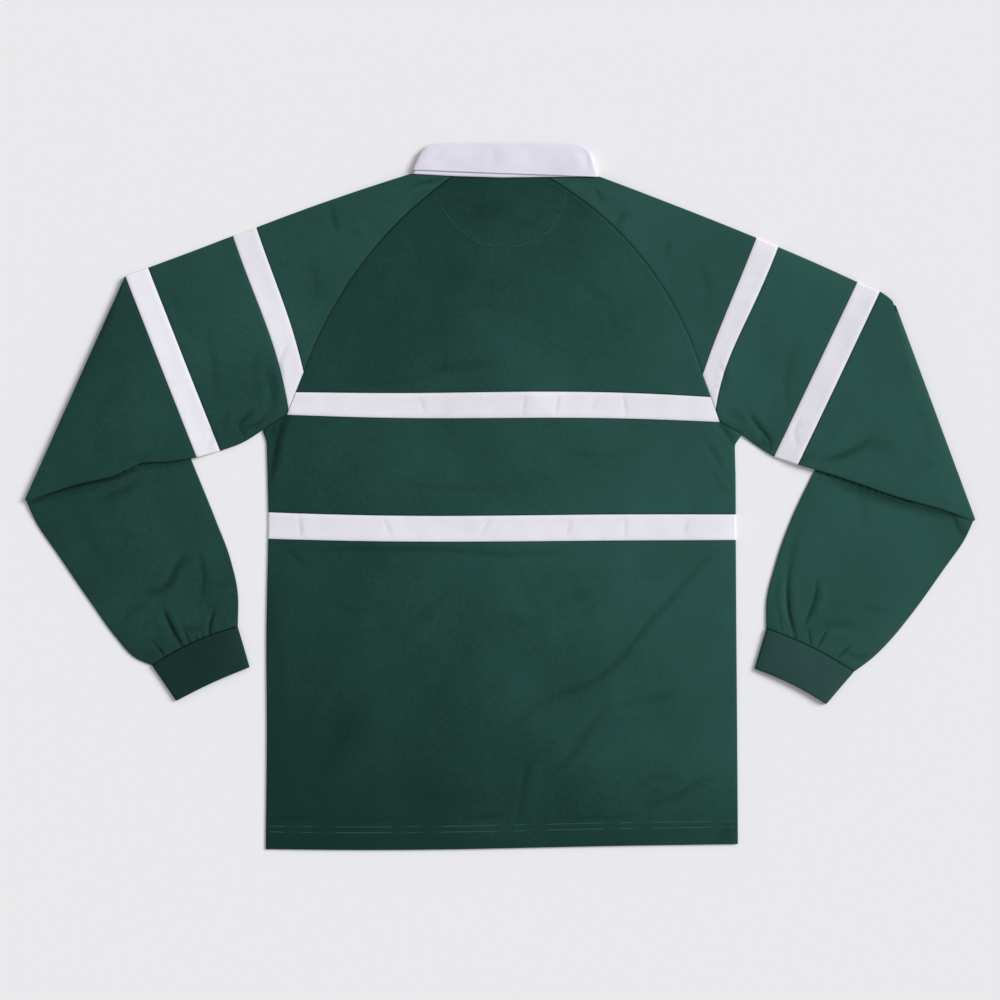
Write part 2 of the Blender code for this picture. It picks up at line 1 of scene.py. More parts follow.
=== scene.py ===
# %% [markdown]
# # A rugby shirt, laid flat on its front
#
# The shirt is face down on a pale table, its back up, with both sleeves folded under at the elbow.
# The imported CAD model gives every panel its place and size. This lesson makes the cloth itself:
# each panel is a fine net of faces, put in place by the same few measures that cut the panel,
# then pressed with creases, sewn with thread and given a knitted or woven finish.

# %% Load the frame and keep its box
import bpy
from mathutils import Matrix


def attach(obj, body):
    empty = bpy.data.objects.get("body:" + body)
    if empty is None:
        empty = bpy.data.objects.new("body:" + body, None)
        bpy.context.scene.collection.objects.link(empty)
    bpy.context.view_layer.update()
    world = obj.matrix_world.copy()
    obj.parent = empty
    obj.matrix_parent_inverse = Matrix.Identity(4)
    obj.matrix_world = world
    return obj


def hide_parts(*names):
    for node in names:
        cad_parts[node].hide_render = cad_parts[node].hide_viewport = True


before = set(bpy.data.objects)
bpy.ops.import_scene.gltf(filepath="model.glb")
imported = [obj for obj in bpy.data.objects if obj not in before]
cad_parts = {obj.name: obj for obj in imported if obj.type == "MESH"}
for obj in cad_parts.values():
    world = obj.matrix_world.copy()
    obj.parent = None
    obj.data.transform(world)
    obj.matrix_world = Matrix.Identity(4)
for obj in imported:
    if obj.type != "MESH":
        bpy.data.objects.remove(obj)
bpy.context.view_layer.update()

# %% Tools and units
import math

import bmesh
import bpy
import numpy as np
from mathutils import Matrix, Vector

MM = 0.001          # the tables below are in millimetres, Blender's meshes are in metres
scene = bpy.context.scene

# %% [markdown]
# ## Camera
# A shirt that lies flat is judged from straight above. A wide lens close by would show the sides of
# the folds, so the camera is three metres up with a long lens, which keeps the outline true.

# %% Camera
VIEW_WIDTH = 1120.0         # width of the table that the picture takes in
VIEW_CENTRE = (0.2, -3.9)
LENS, SENSOR = 100.0, 36.0
camera_height = VIEW_WIDTH * LENS / SENSOR + 4.0

camera_data = bpy.data.cameras.new("camera")
camera_data.lens = LENS
camera_data.sensor_width = SENSOR
camera_data.clip_end = 20.0
camera = bpy.data.objects.new("camera", camera_data)
camera.location = (VIEW_CENTRE[0] * MM, VIEW_CENTRE[1] * MM, camera_height * MM)
scene.collection.objects.link(camera)
scene.camera = camera
print("camera height", round(camera_height * MM, 3), "m")

# %% [markdown]
# ## Shader maths as Python
# A finish is a small sum of patterns. Writing that sum with nodes one by one is slow to read, so one
# class holds a node's output and overloads the arithmetic signs, and another adds any other node.


# %% Sockets that can be added and multiplied
class Amount:
    """A node's output, which Python's signs can work on."""

    def __init__(self, finish, socket):
        self.finish, self.socket = finish, socket

    def math(self, operation, *values):
        return self.finish.add("ShaderNodeMath", {"operation": operation}, dict(enumerate(values)))

    def __add__(self, other):
        return self.math("ADD", self, other)

    def __sub__(self, other):
        return self.math("SUBTRACT", self, other)

    def __rsub__(self, other):
        return self.math("SUBTRACT", other, self)

    def __mul__(self, other):
        return self.math("MULTIPLY", self, other)

    def __truediv__(self, other):
        return self.math("DIVIDE", self, other)

    def __pow__(self, other):
        return self.math("POWER", self, other)

    __radd__, __rmul__ = __add__, __mul__

    def turns(self):
        """Sine of the amount, counted in whole turns and moved to run from 0 to 1."""
        return self.math("SINE", self * (2 * math.pi)) * 0.5 + 0.5

    def within(self):
        """What is left over after the last whole number."""
        return self.math("FRACT", self)

    def size(self):
        return self.math("ABSOLUTE", self)

    def rises(self, low, high):
        """0 below low, 1 above high, and smooth between."""
        return self.finish.add("ShaderNodeMapRange", {"interpolation_type": "SMOOTHSTEP"},
                               {"Value": self, "From Min": low, "From Max": high})


class Finish:
    """A material in the making. Constants go straight to the shader's own sockets."""

    def __init__(self, name, constants):
        self.material = bpy.data.materials.new(name)
        self.material.use_nodes = True
        self.tree = self.material.node_tree
        self.shader = self.tree.nodes["Principled BSDF"]
        self.feed(self.shader, constants)
        self.place = self.add("ShaderNodeTexCoord", {}, {}, output=3)

    def feed(self, node, sockets):
        for key, value in sockets.items():
            if isinstance(value, Amount):
                self.tree.links.new(value.socket, node.inputs[key])
            else:
                node.inputs[key].default_value = value

    def add(self, kind, settings, sockets, output=0):
        node = self.tree.nodes.new(kind)
        for key, value in settings.items():
            setattr(node, key, value)
        self.feed(node, sockets)
        return Amount(self, node.outputs[output])

    def part(self, vector, axis):
        return self.add("ShaderNodeSeparateXYZ", {}, {0: vector}, output="XYZ".index(axis))

    def grain(self):
        """Metres across and along the cloth, from its own map."""
        cloth = self.add("ShaderNodeUVMap", {"uv_map": "cloth"}, {})
        return self.part(cloth, "X"), self.part(cloth, "Y")

    def reading(self, name):
        """A number that the net keeps for each of its points."""
        return self.add("ShaderNodeAttribute", {"attribute_name": name}, {}, output=2)

    def noise(self, scale, detail=2.0, roughness=0.5):
        return self.add("ShaderNodeTexNoise", {}, {"Vector": self.place, "Scale": scale, "Detail": detail,
                                                   "Roughness": roughness})

    def mixed(self, share, first, second):
        """A colour between two colours."""
        return self.add("ShaderNodeMix", {"data_type": "RGBA"}, {0: share, 6: first, 7: second}, output=2)

    def done(self, colour, roughness, height, depth):
        """Feed what varies over the surface to the shader."""
        bump = self.add("ShaderNodeBump", {}, {"Strength": 1.0, "Distance": depth, "Height": height})
        self.feed(self.shader, {"Base Color": colour, "Roughness": roughness, "Normal": bump})
        return self.material


def shade(red, green, blue):
    """A colour given as it looks on a screen, 0 to 255, made linear for the shader."""
    linear = [((part / 255 + 0.055) / 1.055) ** 2.4 for part in (red, green, blue)]
    return (*linear, 1.0)


# %% [markdown]
# ## Cloth finishes
# Rugby cloth is a heavy cotton jersey: columns of small V-shaped stitches that stand up like cords,
# with a short fuzz. The pattern follows the cloth's own map, which is in metres along the grain, so it
# turns with each sleeve. A second reading, the distance to the nearest sewn edge, puts painted shade
# in the ditch of each seam and under the sleeves' folded edges, and a third, the depth of a crease,
# paints shade into the creases. The jersey's colour also holds painted light, lighter to the right.
# The collar is a woven twill with a fine slanting line, and the cuffs are a rib knit.

# %% Jersey
WALE = 0.0008           # width of a column of stitches
COURSE = 0.00062        # height of one stitch
CREASE_PAINTED_SHADE = 0.15     # darkening for each millimetre of a crease's depth
SOFT_KNIT = {"Specular IOR Level": 0.1, "Sheen Weight": 0.05, "Sheen Roughness": 0.4}


def knitted(across, along):
    """Height of a plain knit from 0 to 1: cords of V-shaped stitches."""
    off_centre = ((across / WALE).within() * 2 - 1).size()
    cord = 1 - off_centre ** 2
    legs = (along / COURSE + off_centre * 0.45).turns()
    return cord * (0.55 + legs * 0.45)


def painted_edge_shade(finish):
    """Painted shade: 1 in the ditch of a sewn seam or under a folded edge, times how strong that shade is."""
    return (1 - finish.reading("edge").rises(0.4, 1.4)) * finish.reading("painted_shade_strength")


def painted_crease_shade(finish):
    """Painted shade in a crease: how much it darkens a point, by how deep the point lies in it."""
    return finish.reading("crease") * CREASE_PAINTED_SHADE


def jersey(name, dark, light, seam, roughness, drift):
    """Cotton jersey between a dark and a light shade, with painted light and shade over the shirt."""
    finish = Finish(name, SOFT_KNIT)
    knit = knitted(*finish.grain())
    cloudy = finish.noise(9.0, 3.0)
    heather = finish.noise(260.0, 2.0, 0.6)
    # Painted light: lighter to the right and changing with height, as the light falls over the shirt;
    # ends_drift also darkens it towards the top and the bottom, or lightens it there when below 0.
    level, painted_light_sideways, painted_light_upward, ends_drift = drift
    height = finish.part(finish.place, "Y")
    broad = level + finish.part(finish.place, "X") * painted_light_sideways + height * painted_light_upward
    broad = broad - height * height * ends_drift
    share = broad + (cloudy - 0.5) * 0.5 + (heather - 0.5) * 0.35 + (knit - 0.4) * 0.16
    colour = finish.mixed(share.rises(0.0, 1.0), dark, light)
    # Painted shade in the ditches of seams and under the sleeves' folded edges.
    colour = finish.mixed(painted_edge_shade(finish), colour, seam)
    # Painted shade in the creases, by their depth.
    colour = finish.mixed(painted_crease_shade(finish), colour, seam)
    fuzz = finish.noise(900.0, 3.0, 0.7)
    return finish.done(colour, roughness + heather * 0.1, knit + fuzz * 0.5, 0.00028)


# The third colour of each jersey is the painted shade of its seams, folded edges and creases.
GREEN_SHADES = shade(18, 51, 46), shade(45, 88, 80), shade(7, 21, 21)
# Body and sleeves are copies of one jersey that differ in their level and in their painted light.
green_jersey = jersey("green_jersey", *GREEN_SHADES, 0.82, (0.54, 0.9, 0.06, 2.2))
sleeve_jersey = jersey("sleeve_jersey", *GREEN_SHADES, 0.82, (0.60, 0.45, 0.20, -0.6))
white_jersey = jersey("white_jersey", shade(234, 233, 243), shade(248, 247, 254), shade(120, 124, 140),
                      0.8, (0.55, 0.2, 0.1, 0.0))
print("jersey wale", WALE / MM, "mm, course", COURSE / MM, "mm")

# %% Twill, rib, thread and rubber
TWILL_LINE = 0.0013


def twill():
    """Doubled cotton twill, with its slanting line and a slight cloudiness."""
    finish = Finish("white_twill", {"Specular IOR Level": 0.3, "Sheen Weight": 0.08})
    across, along = finish.grain()
    slant = ((across + along * 0.8) / TWILL_LINE).turns()
    thread = (along / (TWILL_LINE * 0.5)).turns()
    cloudy = finish.noise(22.0, 3.0)
    share = 0.35 + (cloudy - 0.5) * 0.8 + slant * 0.3
    colour = finish.mixed(share.rises(0.0, 1.0), shade(219, 217, 232), shade(236, 234, 245))
    # Painted shade in the ditch of a seam.
    colour = finish.mixed(painted_edge_shade(finish), colour, shade(120, 122, 138))
    fuzz = finish.noise(800.0, 2.0)
    return finish.done(colour, 0.7 + fuzz * 0.15, slant * 0.6 + thread * 0.25 + fuzz * 0.4, 0.00022)


def rib():
    """Two-by-two rib: high cords and low ones, along the wrist."""
    finish = Finish("green_rib", SOFT_KNIT)
    across, along = finish.grain()
    knit = knitted(across, along)
    cord = (across / (WALE * 2.5)).turns()
    cloudy = finish.noise(14.0, 3.0)
    # Painted light: the rib is lighter towards the right, as the light falls.
    share = 0.5 + finish.part(finish.place, "X") * 0.9 + (cloudy - 0.5) * 0.5 + (cord - 0.5) * 0.03
    colour = finish.mixed(share.rises(0.0, 1.0), shade(18, 46, 42), shade(43, 74, 70))
    # Painted shade in the ditch of the cuff seam.
    colour = finish.mixed(painted_edge_shade(finish), colour, shade(10, 22, 24))
    return finish.done(colour, 0.85 + cloudy * 0.08, cord * 0.5 + knit * 0.6, 0.00018)


def thread(name, dark, light):
    """Twisted sewing thread."""
    finish = Finish(name, {"Specular IOR Level": 0.35})
    twist = finish.noise(1500.0, 2.0)
    colour = finish.mixed(twist, dark, light)
    return finish.done(colour, 0.55 + twist * 0.2, twist, 0.0002)


def rubber():
    """White rubber, a little chalky, with fine moulding grain."""
    finish = Finish("white_rubber", {"Specular IOR Level": 0.4})
    chalk = finish.noise(400.0, 4.0)
    colour = finish.mixed(chalk, shade(215, 215, 214), shade(232, 232, 230))
    return finish.done(colour, 0.45 + chalk * 0.15, chalk, 0.0001)


white_twill = twill()
green_rib = rib()
green_thread = thread("green_thread", shade(58, 104, 96), shade(90, 138, 130))
dull_thread = thread("dull_thread", shade(46, 84, 77), shade(64, 106, 98))
white_rubber = rubber()
print("finishes", len(bpy.data.materials))

# %% [markdown]
# ## Curves and heights
# Every panel is cut between a few corners. Straight and bowed lines join them, and a smooth curve runs
# through a table of points where an edge bends. The heights say how the layers are stacked: the front
# on the table, the back over it, both lifted where collar and placket lie underneath.


# %% Lines through corners
def line(start, end, share):
    """Plan points at each share of the way from start to end. Either end may be many points."""
    start, end = np.asarray(start, float), np.asarray(end, float)
    return start + (end - start) * np.asarray(share, float)[..., None]


def bowed(start, end, bulge, share):
    """Points on a shallow curve that stands bulge above its chord."""
    chord = np.subtract(end, start) / math.dist(start, end)
    rise = 4 * share * (1 - share) * bulge * math.copysign(1, chord[0])
    return line(start, end, share) + np.stack((-chord[1] * rise, chord[0] * rise), axis=-1)


def added_up(steps):
    """Length of all steps, and the share of it that each end of a step has reached."""
    reached = np.concatenate(([0.0], np.cumsum(steps)))
    return reached[-1], reached / reached[-1]


def gaps(points):
    """Distance from each point to the next."""
    return np.linalg.norm(np.diff(np.asarray(points, float), axis=0), axis=1)


def marks(points):
    """Distance along a run of points, from 0 to 1."""
    return added_up(gaps(points))[1]


def through(knots, values, share):
    """A smooth curve through values at rising knots, read at every share."""
    knots, values = np.asarray(knots, float), np.asarray(values, float)
    slopes = np.gradient(values, knots, axis=0)
    share = np.asarray(share, float)
    cell = np.clip(np.searchsorted(knots, share, side="right") - 1, 0, len(knots) - 2)
    width = knots[cell + 1] - knots[cell]
    step = (share - knots[cell]) / width
    if values.ndim > 1:
        width, step = width[..., None], step[..., None]
    rise = step * step * (3 - 2 * step)
    lean_in = (step ** 3 - 2 * step ** 2 + step) * width * slopes[cell]
    lean_out = (step ** 3 - step ** 2) * width * slopes[cell + 1]
    return values[cell] * (1 - rise) + values[cell + 1] * rise + lean_in + lean_out


def straight(knots, points, share):
    """Plan points on the straight lines between the knots."""
    points = np.asarray(points, float)
    return np.stack([np.interp(share, knots, points[:, axis]) for axis in (0, 1)], axis=-1)


def to_path(x, y, path):
    """Distance from each point to a path, and how far along the path that is, from 0 to 1."""
    path = np.asarray(path, float)
    travelled = marks(path)
    nearest, share = np.full_like(x, 1e6), np.zeros_like(x)
    for start, end, low, high in zip(path, path[1:], travelled, travelled[1:]):
        run = end - start
        step = np.clip(((x - start[0]) * run[0] + (y - start[1]) * run[1]) / run.dot(run), 0, 1)
        gap = np.hypot(x - start[0] - run[0] * step, y - start[1] - run[1] * step)
        closer = gap < nearest
        nearest = np.where(closer, gap, nearest)
        share = np.where(closer, low + (high - low) * step, share)
    return nearest, share


# %% Corners of the panels
SHELL = 0.9             # thickness of the jersey as it shows
HALF_GAP = 0.85         # from the middle of a flat tube to the middle of one wall
FLAT_RISE = 1.45        # middle of a tube that lies on the table
BAND_RISE = FLAT_RISE + 0.8
UPPER_RISE = 5.15       # middle of a sleeve that lies on its own forearm
ELBOW_RADIUS = 1.85
ELBOW_HEIGHT = 3.3

NECK_SIDE = {-1: (-100.0, 361.2), 1: (111.0, 358.4)}
NECK_BACK = {-1: (-52.4, 358.6), 1: (53.6, 357.6)}
NECK_FRONT = {-1: (-85.0, 316.0), 1: (95.0, 315.0)}
NECK_BACK_MIDDLE, NECK_FRONT_MIDDLE = 357.0, 272.0
HOOP_CORNER = {-1: (-219.7, 139.4), 1: (227.2, 136.3)}
RAGLAN_LOW = {-1: (-238.9, 91.5), 1: (246.6, 83.4)}
UNDERARM = {-1: (-266.0, 74.6), 1: (271.5, 69.5)}
BACK_BULGE, FRONT_BULGE = {-1: 21.5, 1: 27.5}, {-1: 14.0, 1: 16.0}
SHOULDER_BULGE = {-1: 1.9, 1: 1.0}
BAND_BOW = {-1: (2.8, 5.6), 1: (1.3, 6.4)}      # how far the upper band's two edges bow towards the body
HOOP_START = {side: tuple(line(HOOP_CORNER[side], RAGLAN_LOW[side], 0.47)) for side in (-1, 1)}
TIP_SHARE = {-1: 0.88, 1: 0.74}
BAND_TIP = {side: tuple(line(HOOP_CORNER[side], RAGLAN_LOW[side], TIP_SHARE[side])) for side in (-1, 1)}
BAND_SKEW = {-1: 1.6, 1: 2.0}
print("hoop starts", HOOP_START)

# %% Rows of the body: left end, height in the middle, right end, and how far the row wanders
BODY_ROWS = {
    "hoop_upper_top": (HOOP_START[-1], 117.0, HOOP_START[1], 1.8),
    "hoop_upper_low": (RAGLAN_LOW[-1], 87.9, RAGLAN_LOW[1], 1.8),
    "underarm": (UNDERARM[-1], 71.0, UNDERARM[1], 1.0),
    "below_arm": ((-261.4, 61.0), 59.0, (263.4, 58.0), 0.0),
    "ribs": ((-260.4, 24.0), 22.0, (264.4, 22.0), 0.0),
    "hoop_lower_top": ((-259.4, -17.7), -21.3, (264.6, -20.0), 1.2),
    "hoop_lower_low": ((-259.6, -47.4), -50.4, (264.6, -48.8), 0.8),
    "waist": ((-261.6, -150.0), -152.0, (265.3, -150.0), 0.0),
    "hip": ((-261.2, -270.0), -271.0, (266.2, -268.0), 0.0),
    "hem": ((-262.4, -395.0), -394.2, (267.0, -389.4), 0.9),
}
BODY_PANELS = {
    "hoop_upper": ("hoop_upper_top", "hoop_upper_low"),
    "middle": ("hoop_upper_low", "underarm", "below_arm", "ribs", "hoop_lower_top"),
    "hoop_lower": ("hoop_lower_top", "hoop_lower_low"),
    "lower": ("hoop_lower_low", "waist", "hip", "hem"),
}

# %% Sections of the sleeves: overarm edge, underarm edge
BAND_TOP = {
    -1: {"in": (-272.9, 301.6), "out": (-299.2, 292.3)},
    1: {"in": (287.6, 290.1), "out": (312.1, 279.9)},
}
UPPER_SLEEVE = {
    -1: {
        "middle": ((-346.5, 274.2), (-288.0, 60.6)),
        "band_in": ((-394.2, 256.4), (-313.4, 51.0)),
        "band_out": ((-419.3, 246.8), (-339.4, 43.7)),
        "fan_1": ((-419.8, 246.2), (-376.0, 38.6)),
        "fan_2": ((-420.2, 245.6), (-402.0, 37.2)),
        "fan_3": ((-420.6, 244.8), (-430.0, 24.4)),
        "fan_4": ((-420.8, 243.4), (-479.0, 11.8)),
    },
    1: {
        "middle": ((357.5, 260.2), (288.6, 56.2)),
        "band_in": ((400.5, 240.6), (307.1, 44.6)),
        "band_out": ((425.6, 229.7), (333.6, 35.6)),
        "fan_1": ((430.0, 227.0), (370.0, 25.0)),
        "fan_2": ((434.0, 224.0), (404.0, 13.6)),
        "fan_3": ((437.4, 221.0), (448.0, -1.4)),
        "fan_4": ((439.6, 218.0), (500.0, -16.0)),
    },
}
ELBOW_FOLD = {-1: ((-420.0, 241.0), (-530.2, -5.0)), 1: ((440.4, 214.0), (530.1, -27.6))}
FOREARM = {
    -1: {
        "elbow": ((-390.0, 153.0), (-520.0, -28.5)),
        "upper": ((-346.0, 42.0), (-494.0, -67.0)),
        "middle": ((-318.4, -26.3), (-457.0, -121.0)),
        "lower": ((-301.7, -71.1), (-431.0, -157.0)),
        "gather": ((-293.4, -112.0), (-409.0, -180.6)),
        "cuff_seam": ((-293.6, -145.6), (-390.0, -189.2)),
        "cuff_edge": ((-280.3, -191.0), (-362.8, -229.0)),
    },
    1: {
        "elbow": ((405.0, 128.0), (521.0, -48.0)),
        "upper": ((347.4, 18.5), (496.0, -84.0)),
        "middle": ((323.0, -34.7), (463.0, -130.0)),
        "lower": ((308.6, -77.0), (435.0, -164.0)),
        "gather": ((299.0, -117.0), (414.0, -184.0)),
        "cuff_seam": ((298.6, -147.7), (397.0, -196.4)),
        "cuff_edge": ((285.4, -192.8), (366.0, -232.7)),
    },
}
print("sleeve sections", sum(len(table[side]) for table in (UPPER_SLEEVE, FOREARM) for side in (-1, 1)))


# %% Heights of the layers
def fade(distance, reach):
    """1 up to distance 0, 0 from distance reach, and smooth between."""
    step = np.clip(1 - distance / reach, 0, 1)
    return step * step * (3 - 2 * step)


def collar_zone(x, y):
    """1 over the collar's front leaves, fading to 0 round them."""
    return fade(np.hypot((x - 5) / 125, (y - 310) / 112) - 1, 0.6)


def strip_zone(x, y, half_width, bottom, top):
    """1 over an upright strip in the middle of the shirt, fading to 0 round it."""
    return fade(np.maximum(np.maximum(np.abs(x) - half_width, y - top), bottom - y), 60)


def front_height(x, y):
    """Middle of the front layer: it rides over the collar's leaves and the buttons."""
    return 0.6 + 1.8 * np.maximum(collar_zone(x, y), strip_zone(x, y, 24, 126, 300))


def back_height(x, y):
    """Middle of the back layer: over the front layer, the stand and the placket."""
    over_placket = 1.3 * strip_zone(x, y, 20, 128, 280)
    return front_height(x, y) + 2 * HALF_GAP + 0.4 * collar_zone(x, y) + over_placket


# %% [markdown]
# ## Creases and loft
# A shirt on a table isn't flat. Air between its layers lifts it a millimetre or two away from its
# folded edges, long soft waves cross it, and single creases stay from how it was put away. A cloth
# simulation would find its own creases, not these ones, so each is listed as a soft trough
# (below 0) or ridge (above 0) with its own path, width and depth.

# %% Outline of what lies on top
def outline():
    """The edge of the back, the upper sleeves and the hem, once round."""
    points = [NECK_SIDE[-1]]
    for side, order in ((-1, 1), (1, -1)):
        upper = UPPER_SLEEVE[side]
        over = [BAND_TOP[side]["in"], upper["band_in"][0], upper["band_out"][0], ELBOW_FOLD[side][0]]
        under = [ELBOW_FOLD[side][1]] + [point[1] for point in list(upper.values())[::-1]]
        ends = 0 if side == -1 else 2
        flank = [UNDERARM[side]] + [BODY_ROWS[key][ends] for key in ("ribs", "waist", "hip", "hem")]
        points += (over + under + flank)[::order]
    return points + [NECK_SIDE[1], NECK_BACK[1], (0.0, NECK_BACK_MIDDLE), NECK_BACK[-1], NECK_SIDE[-1]]


OUTLINE = outline()
LOFT, LOFT_REACH = 1.9, 16.0


def loft(x, y):
    """Lift of the top layer by the air under it."""
    return LOFT * (1 - np.exp(-to_path(x, y, OUTLINE)[0] / LOFT_REACH))


print("outline corners", len(OUTLINE))

# %% Waves and creases of the top layer
WAVES = (       # height, length, direction in degrees, start
    (0.42, 190.0, 25.0, 0.4),
    (0.34, 128.0, 110.0, 2.1),
    (0.24, 83.0, 62.0, 4.0),
    (0.13, 47.0, 155.0, 1.2),
    (0.08, 29.0, 18.0, 3.3),
    (0.06, 21.0, 84.0, 0.9),
)
BACK_CREASES = (        # depth, width, then x and y of each point of the path
    # below the lower hoop
    (-2.3, 4.6, 235, -63, 193, -113, 170, -138, 145, -169, 125, -191, 97, -211, 69, -222),
    (0.9, 9.0, 226, -80, 180, -132, 138, -180, 100, -204),
    (-1.0, 6.0, 97, -211, 69, -222, 36, -239, 8, -262),
    (-1.4, 5.0, 114, -242, 97, -264, 69, -301, 50, -314),
    (-1.5, 3.6, 31, -300, 27, -318, 24, -334),
    (-0.8, 3.4, 26, -330, 22, -348, 20, -366),
    (0.6, 7.0, 38, -300, 35, -326, 34, -352),
    (-1.1, 3.6, 150, -324, 176, -315, 200, -318),
    (-1.7, 3.8, 160, -347, 193, -337, 215, -323, 236, -316),
    (0.8, 4.5, 170, -330, 200, -327, 226, -310),
    (-1.4, 6.0, 244, -388, 252, -376, 258, -362),
    (-0.8, 5.0, 132, -234, 166, -229, 197, -221),
    (-1.3, 3.4, -236, -61, -160, -60, -82, -60, 25, -66, 80, -63),
    (-1.2, 4.0, -240, -60, -230, -68, -216, -79),
    (-0.9, 6.0, -56, -106, -93, -138, -114, -166),
    (-0.8, 6.0, -2, -134, 24, -142, 52, -138),
    (-0.7, 5.0, 60, -128, 86, -112, 104, -108),
    (0.9, 8.0, -182, -196, -212, -262, -250, -336),
    (-1.3, 14.0, -150, -216, -180, -270, -206, -330),
    (-0.9, 12.0, -130, -330, -70, -338, -10, -330),
    (-0.7, 6.0, -252, -150, -248, -200, -252, -250),
    (-1.1, 2.6, -256, -362, -230, -361, -196, -363),
    (-1.0, 2.4, -158, -363, -120, -362, -80, -364),
    (-1.7, 2.6, -42, -362, -20, -360, 5, -357),
    (-0.8, 2.4, 60, -361, 110, -360, 150, -358),
    (-0.6, 5.0, -200, -110, -170, -128, -130, -126),
    (-0.6, 5.0, 150, -80, 172, -92, 186, -84),
    # between the hoops and at the armpits
    (-5.0, 3.0, -238, 94, -247, 70, -252, 42, -258, 10),
    (-2.4, 2.2, -250, 84, -254, 74, -256, 62),
    (1.0, 3.6, -235, 82, -241, 58, -244, 36),
    (-2.6, 2.6, 244, 84, 255, 70, 264, 58),
    (-1.1, 3.4, 226, 66, 241, 46, 252, 22),
    (-0.8, 3.4, 238, 30, 246, 12, 258, 0),
    (-0.7, 5.0, -120, 14, -40, 7, 40, 15),
    (-0.6, 5.0, 60, 50, 110, 44, 160, 52),
    # back above the upper hoop
    (-1.3, 6.0, -95, 135, -50, 145, -4, 145),
    (-1.0, 5.0, -182, 130, -135, 127, -90, 131),
    (-1.1, 9.0, -52, 304, -20, 314, 18, 327),
    (-0.9, 6.0, 12, 300, 34, 308, 52, 322),
    (-0.7, 5.0, -142, 244, -128, 256, -116, 262),
    (-0.6, 7.0, -70, 205, -20, 212, 40, 200),
    (-0.6, 6.0, 90, 240, 120, 214, 130, 180),
    (0.45, 1.8, -66, 328, -57, 312, -44, 298, -23, 284, 0, 280, 21, 281, 44, 290, 60, 303, 68, 322),
    # sleeve heads
    (-1.9, 3.0, -108, 341, -92, 349, -72, 354, -58, 358),
    (-1.3, 3.2, -104, 322, -94, 334, -80, 345),
    (0.9, 3.6, -112, 334, -98, 341, -84, 348),
    (-1.7, 3.8, -189, 328, -187, 312, -183, 296),
    (1.0, 5.0, -160, 306, -152, 290),
    (-0.9, 5.0, -214, 262, -206, 240, -210, 216),
    (-1.5, 3.0, 106, 344, 110, 338, 114, 330),
    (-1.4, 4.0, 141, 318, 133, 308, 129, 296),
    (0.8, 5.0, 124, 340, 140, 330, 150, 314),
    (-1.0, 4.0, 188, 286, 187, 276, 184, 266),
    (-0.7, 6.0, 220, 262, 232, 236, 230, 206),
    # upper sleeves
    (-2.4, 3.4, -262, 142, -254, 120, -255, 92),
    (0.9, 4.0, -268, 132, -264, 108),
    (-3.4, 2.6, -276, 98, -291, 78, -284, 66),
    (-2.6, 2.4, -260, 92, -272, 81, -288, 76),
    (1.1, 4.0, -300, 96, -305, 76),
    (-1.1, 3.4, -268, 168, -276, 148, -273, 128),
    (-0.9, 5.0, -330, 190, -322, 150, -318, 110),
    (-5.2, 1.9, 281, 93, 285, 86, 291, 78, 299, 69, 303, 62, 302, 52),
    (-2.4, 2.0, 293, 66, 296, 60, 299, 54),
    (1.0, 3.6, 275, 82, 284, 70, 291, 62),
    (-2.2, 2.2, 282, 66, 288, 60, 295, 58),
    (-1.1, 3.4, 257, 98, 268, 86, 276, 80),
    (-0.9, 5.0, 330, 170, 320, 130, 322, 96),
    (-0.7, 4.0, -372, 232, -362, 210, -360, 190),
    # above the elbows
    (-3.2, 3.6, 357, 40, 381, 45, 398, 53, 415, 64),
    (1.2, 5.0, 362, 56, 378, 68, 392, 84),
    (-1.0, 8.0, 408, 54, 426, 56, 440, 50),
    (-1.6, 2.4, 335, 38, 344, 44, 354, 51),
    (-0.9, 4.0, 456, 22, 470, 32, 486, 38),
    (-1.7, 2.4, -404, 42, -399, 41, -395, 34),
    (-1.1, 3.6, -430, 34, -414, 42, -403, 45),
    (-0.9, 3.0, -390, 52, -386, 66, -388, 78),
    (-0.9, 3.0, -376, 50, -372, 62, -374, 72),
    (-0.8, 6.0, -446, 70, -452, 54, -446, 38),
    (-0.7, 6.0, -430, 130, -450, 94, -468, 60),
    (-0.8, 5.0, 470, 100, 478, 70, 486, 46),
)
HOOP_CREASES = (
    (-0.9, 1.6, 28, 112, 26, 92),
    (-1.0, 1.5, 66, 113, 62, 92),
    (-0.9, 1.5, 139, 114, 141, 88),
    (-0.6, 1.8, -90, 112, -84, 94),
    (-0.6, 1.8, 110, 110, 100, 94),
    (-1.1, 1.4, -225, -20, -223, -46),
    (-0.8, 1.6, -12, -26, -22, -46),
    (-0.8, 1.6, 80, -26, 74, -46),
    (-1.1, 1.3, 140, -22, 140, -46),
    (-0.6, 1.8, 210, -26, 206, -44),
    (-0.6, 2.0, -130, -24, -122, -44),
    (-1.0, 2.4, 246, 150, 252, 132, 250, 118),
    (-0.9, 2.2, -238, 170, -246, 150, -242, 132),
    (-0.9, 2.4, -330, 80, -322, 66, -326, 54),
    (-0.9, 2.2, 336, 86, 330, 70, 334, 58),
)


def ends_faded(share):
    """A crease is deepest in the middle of its path and runs out at both ends."""
    return np.sqrt(np.clip(np.sin(np.pi * np.clip(share, 0.02, 0.98)), 0, 1))


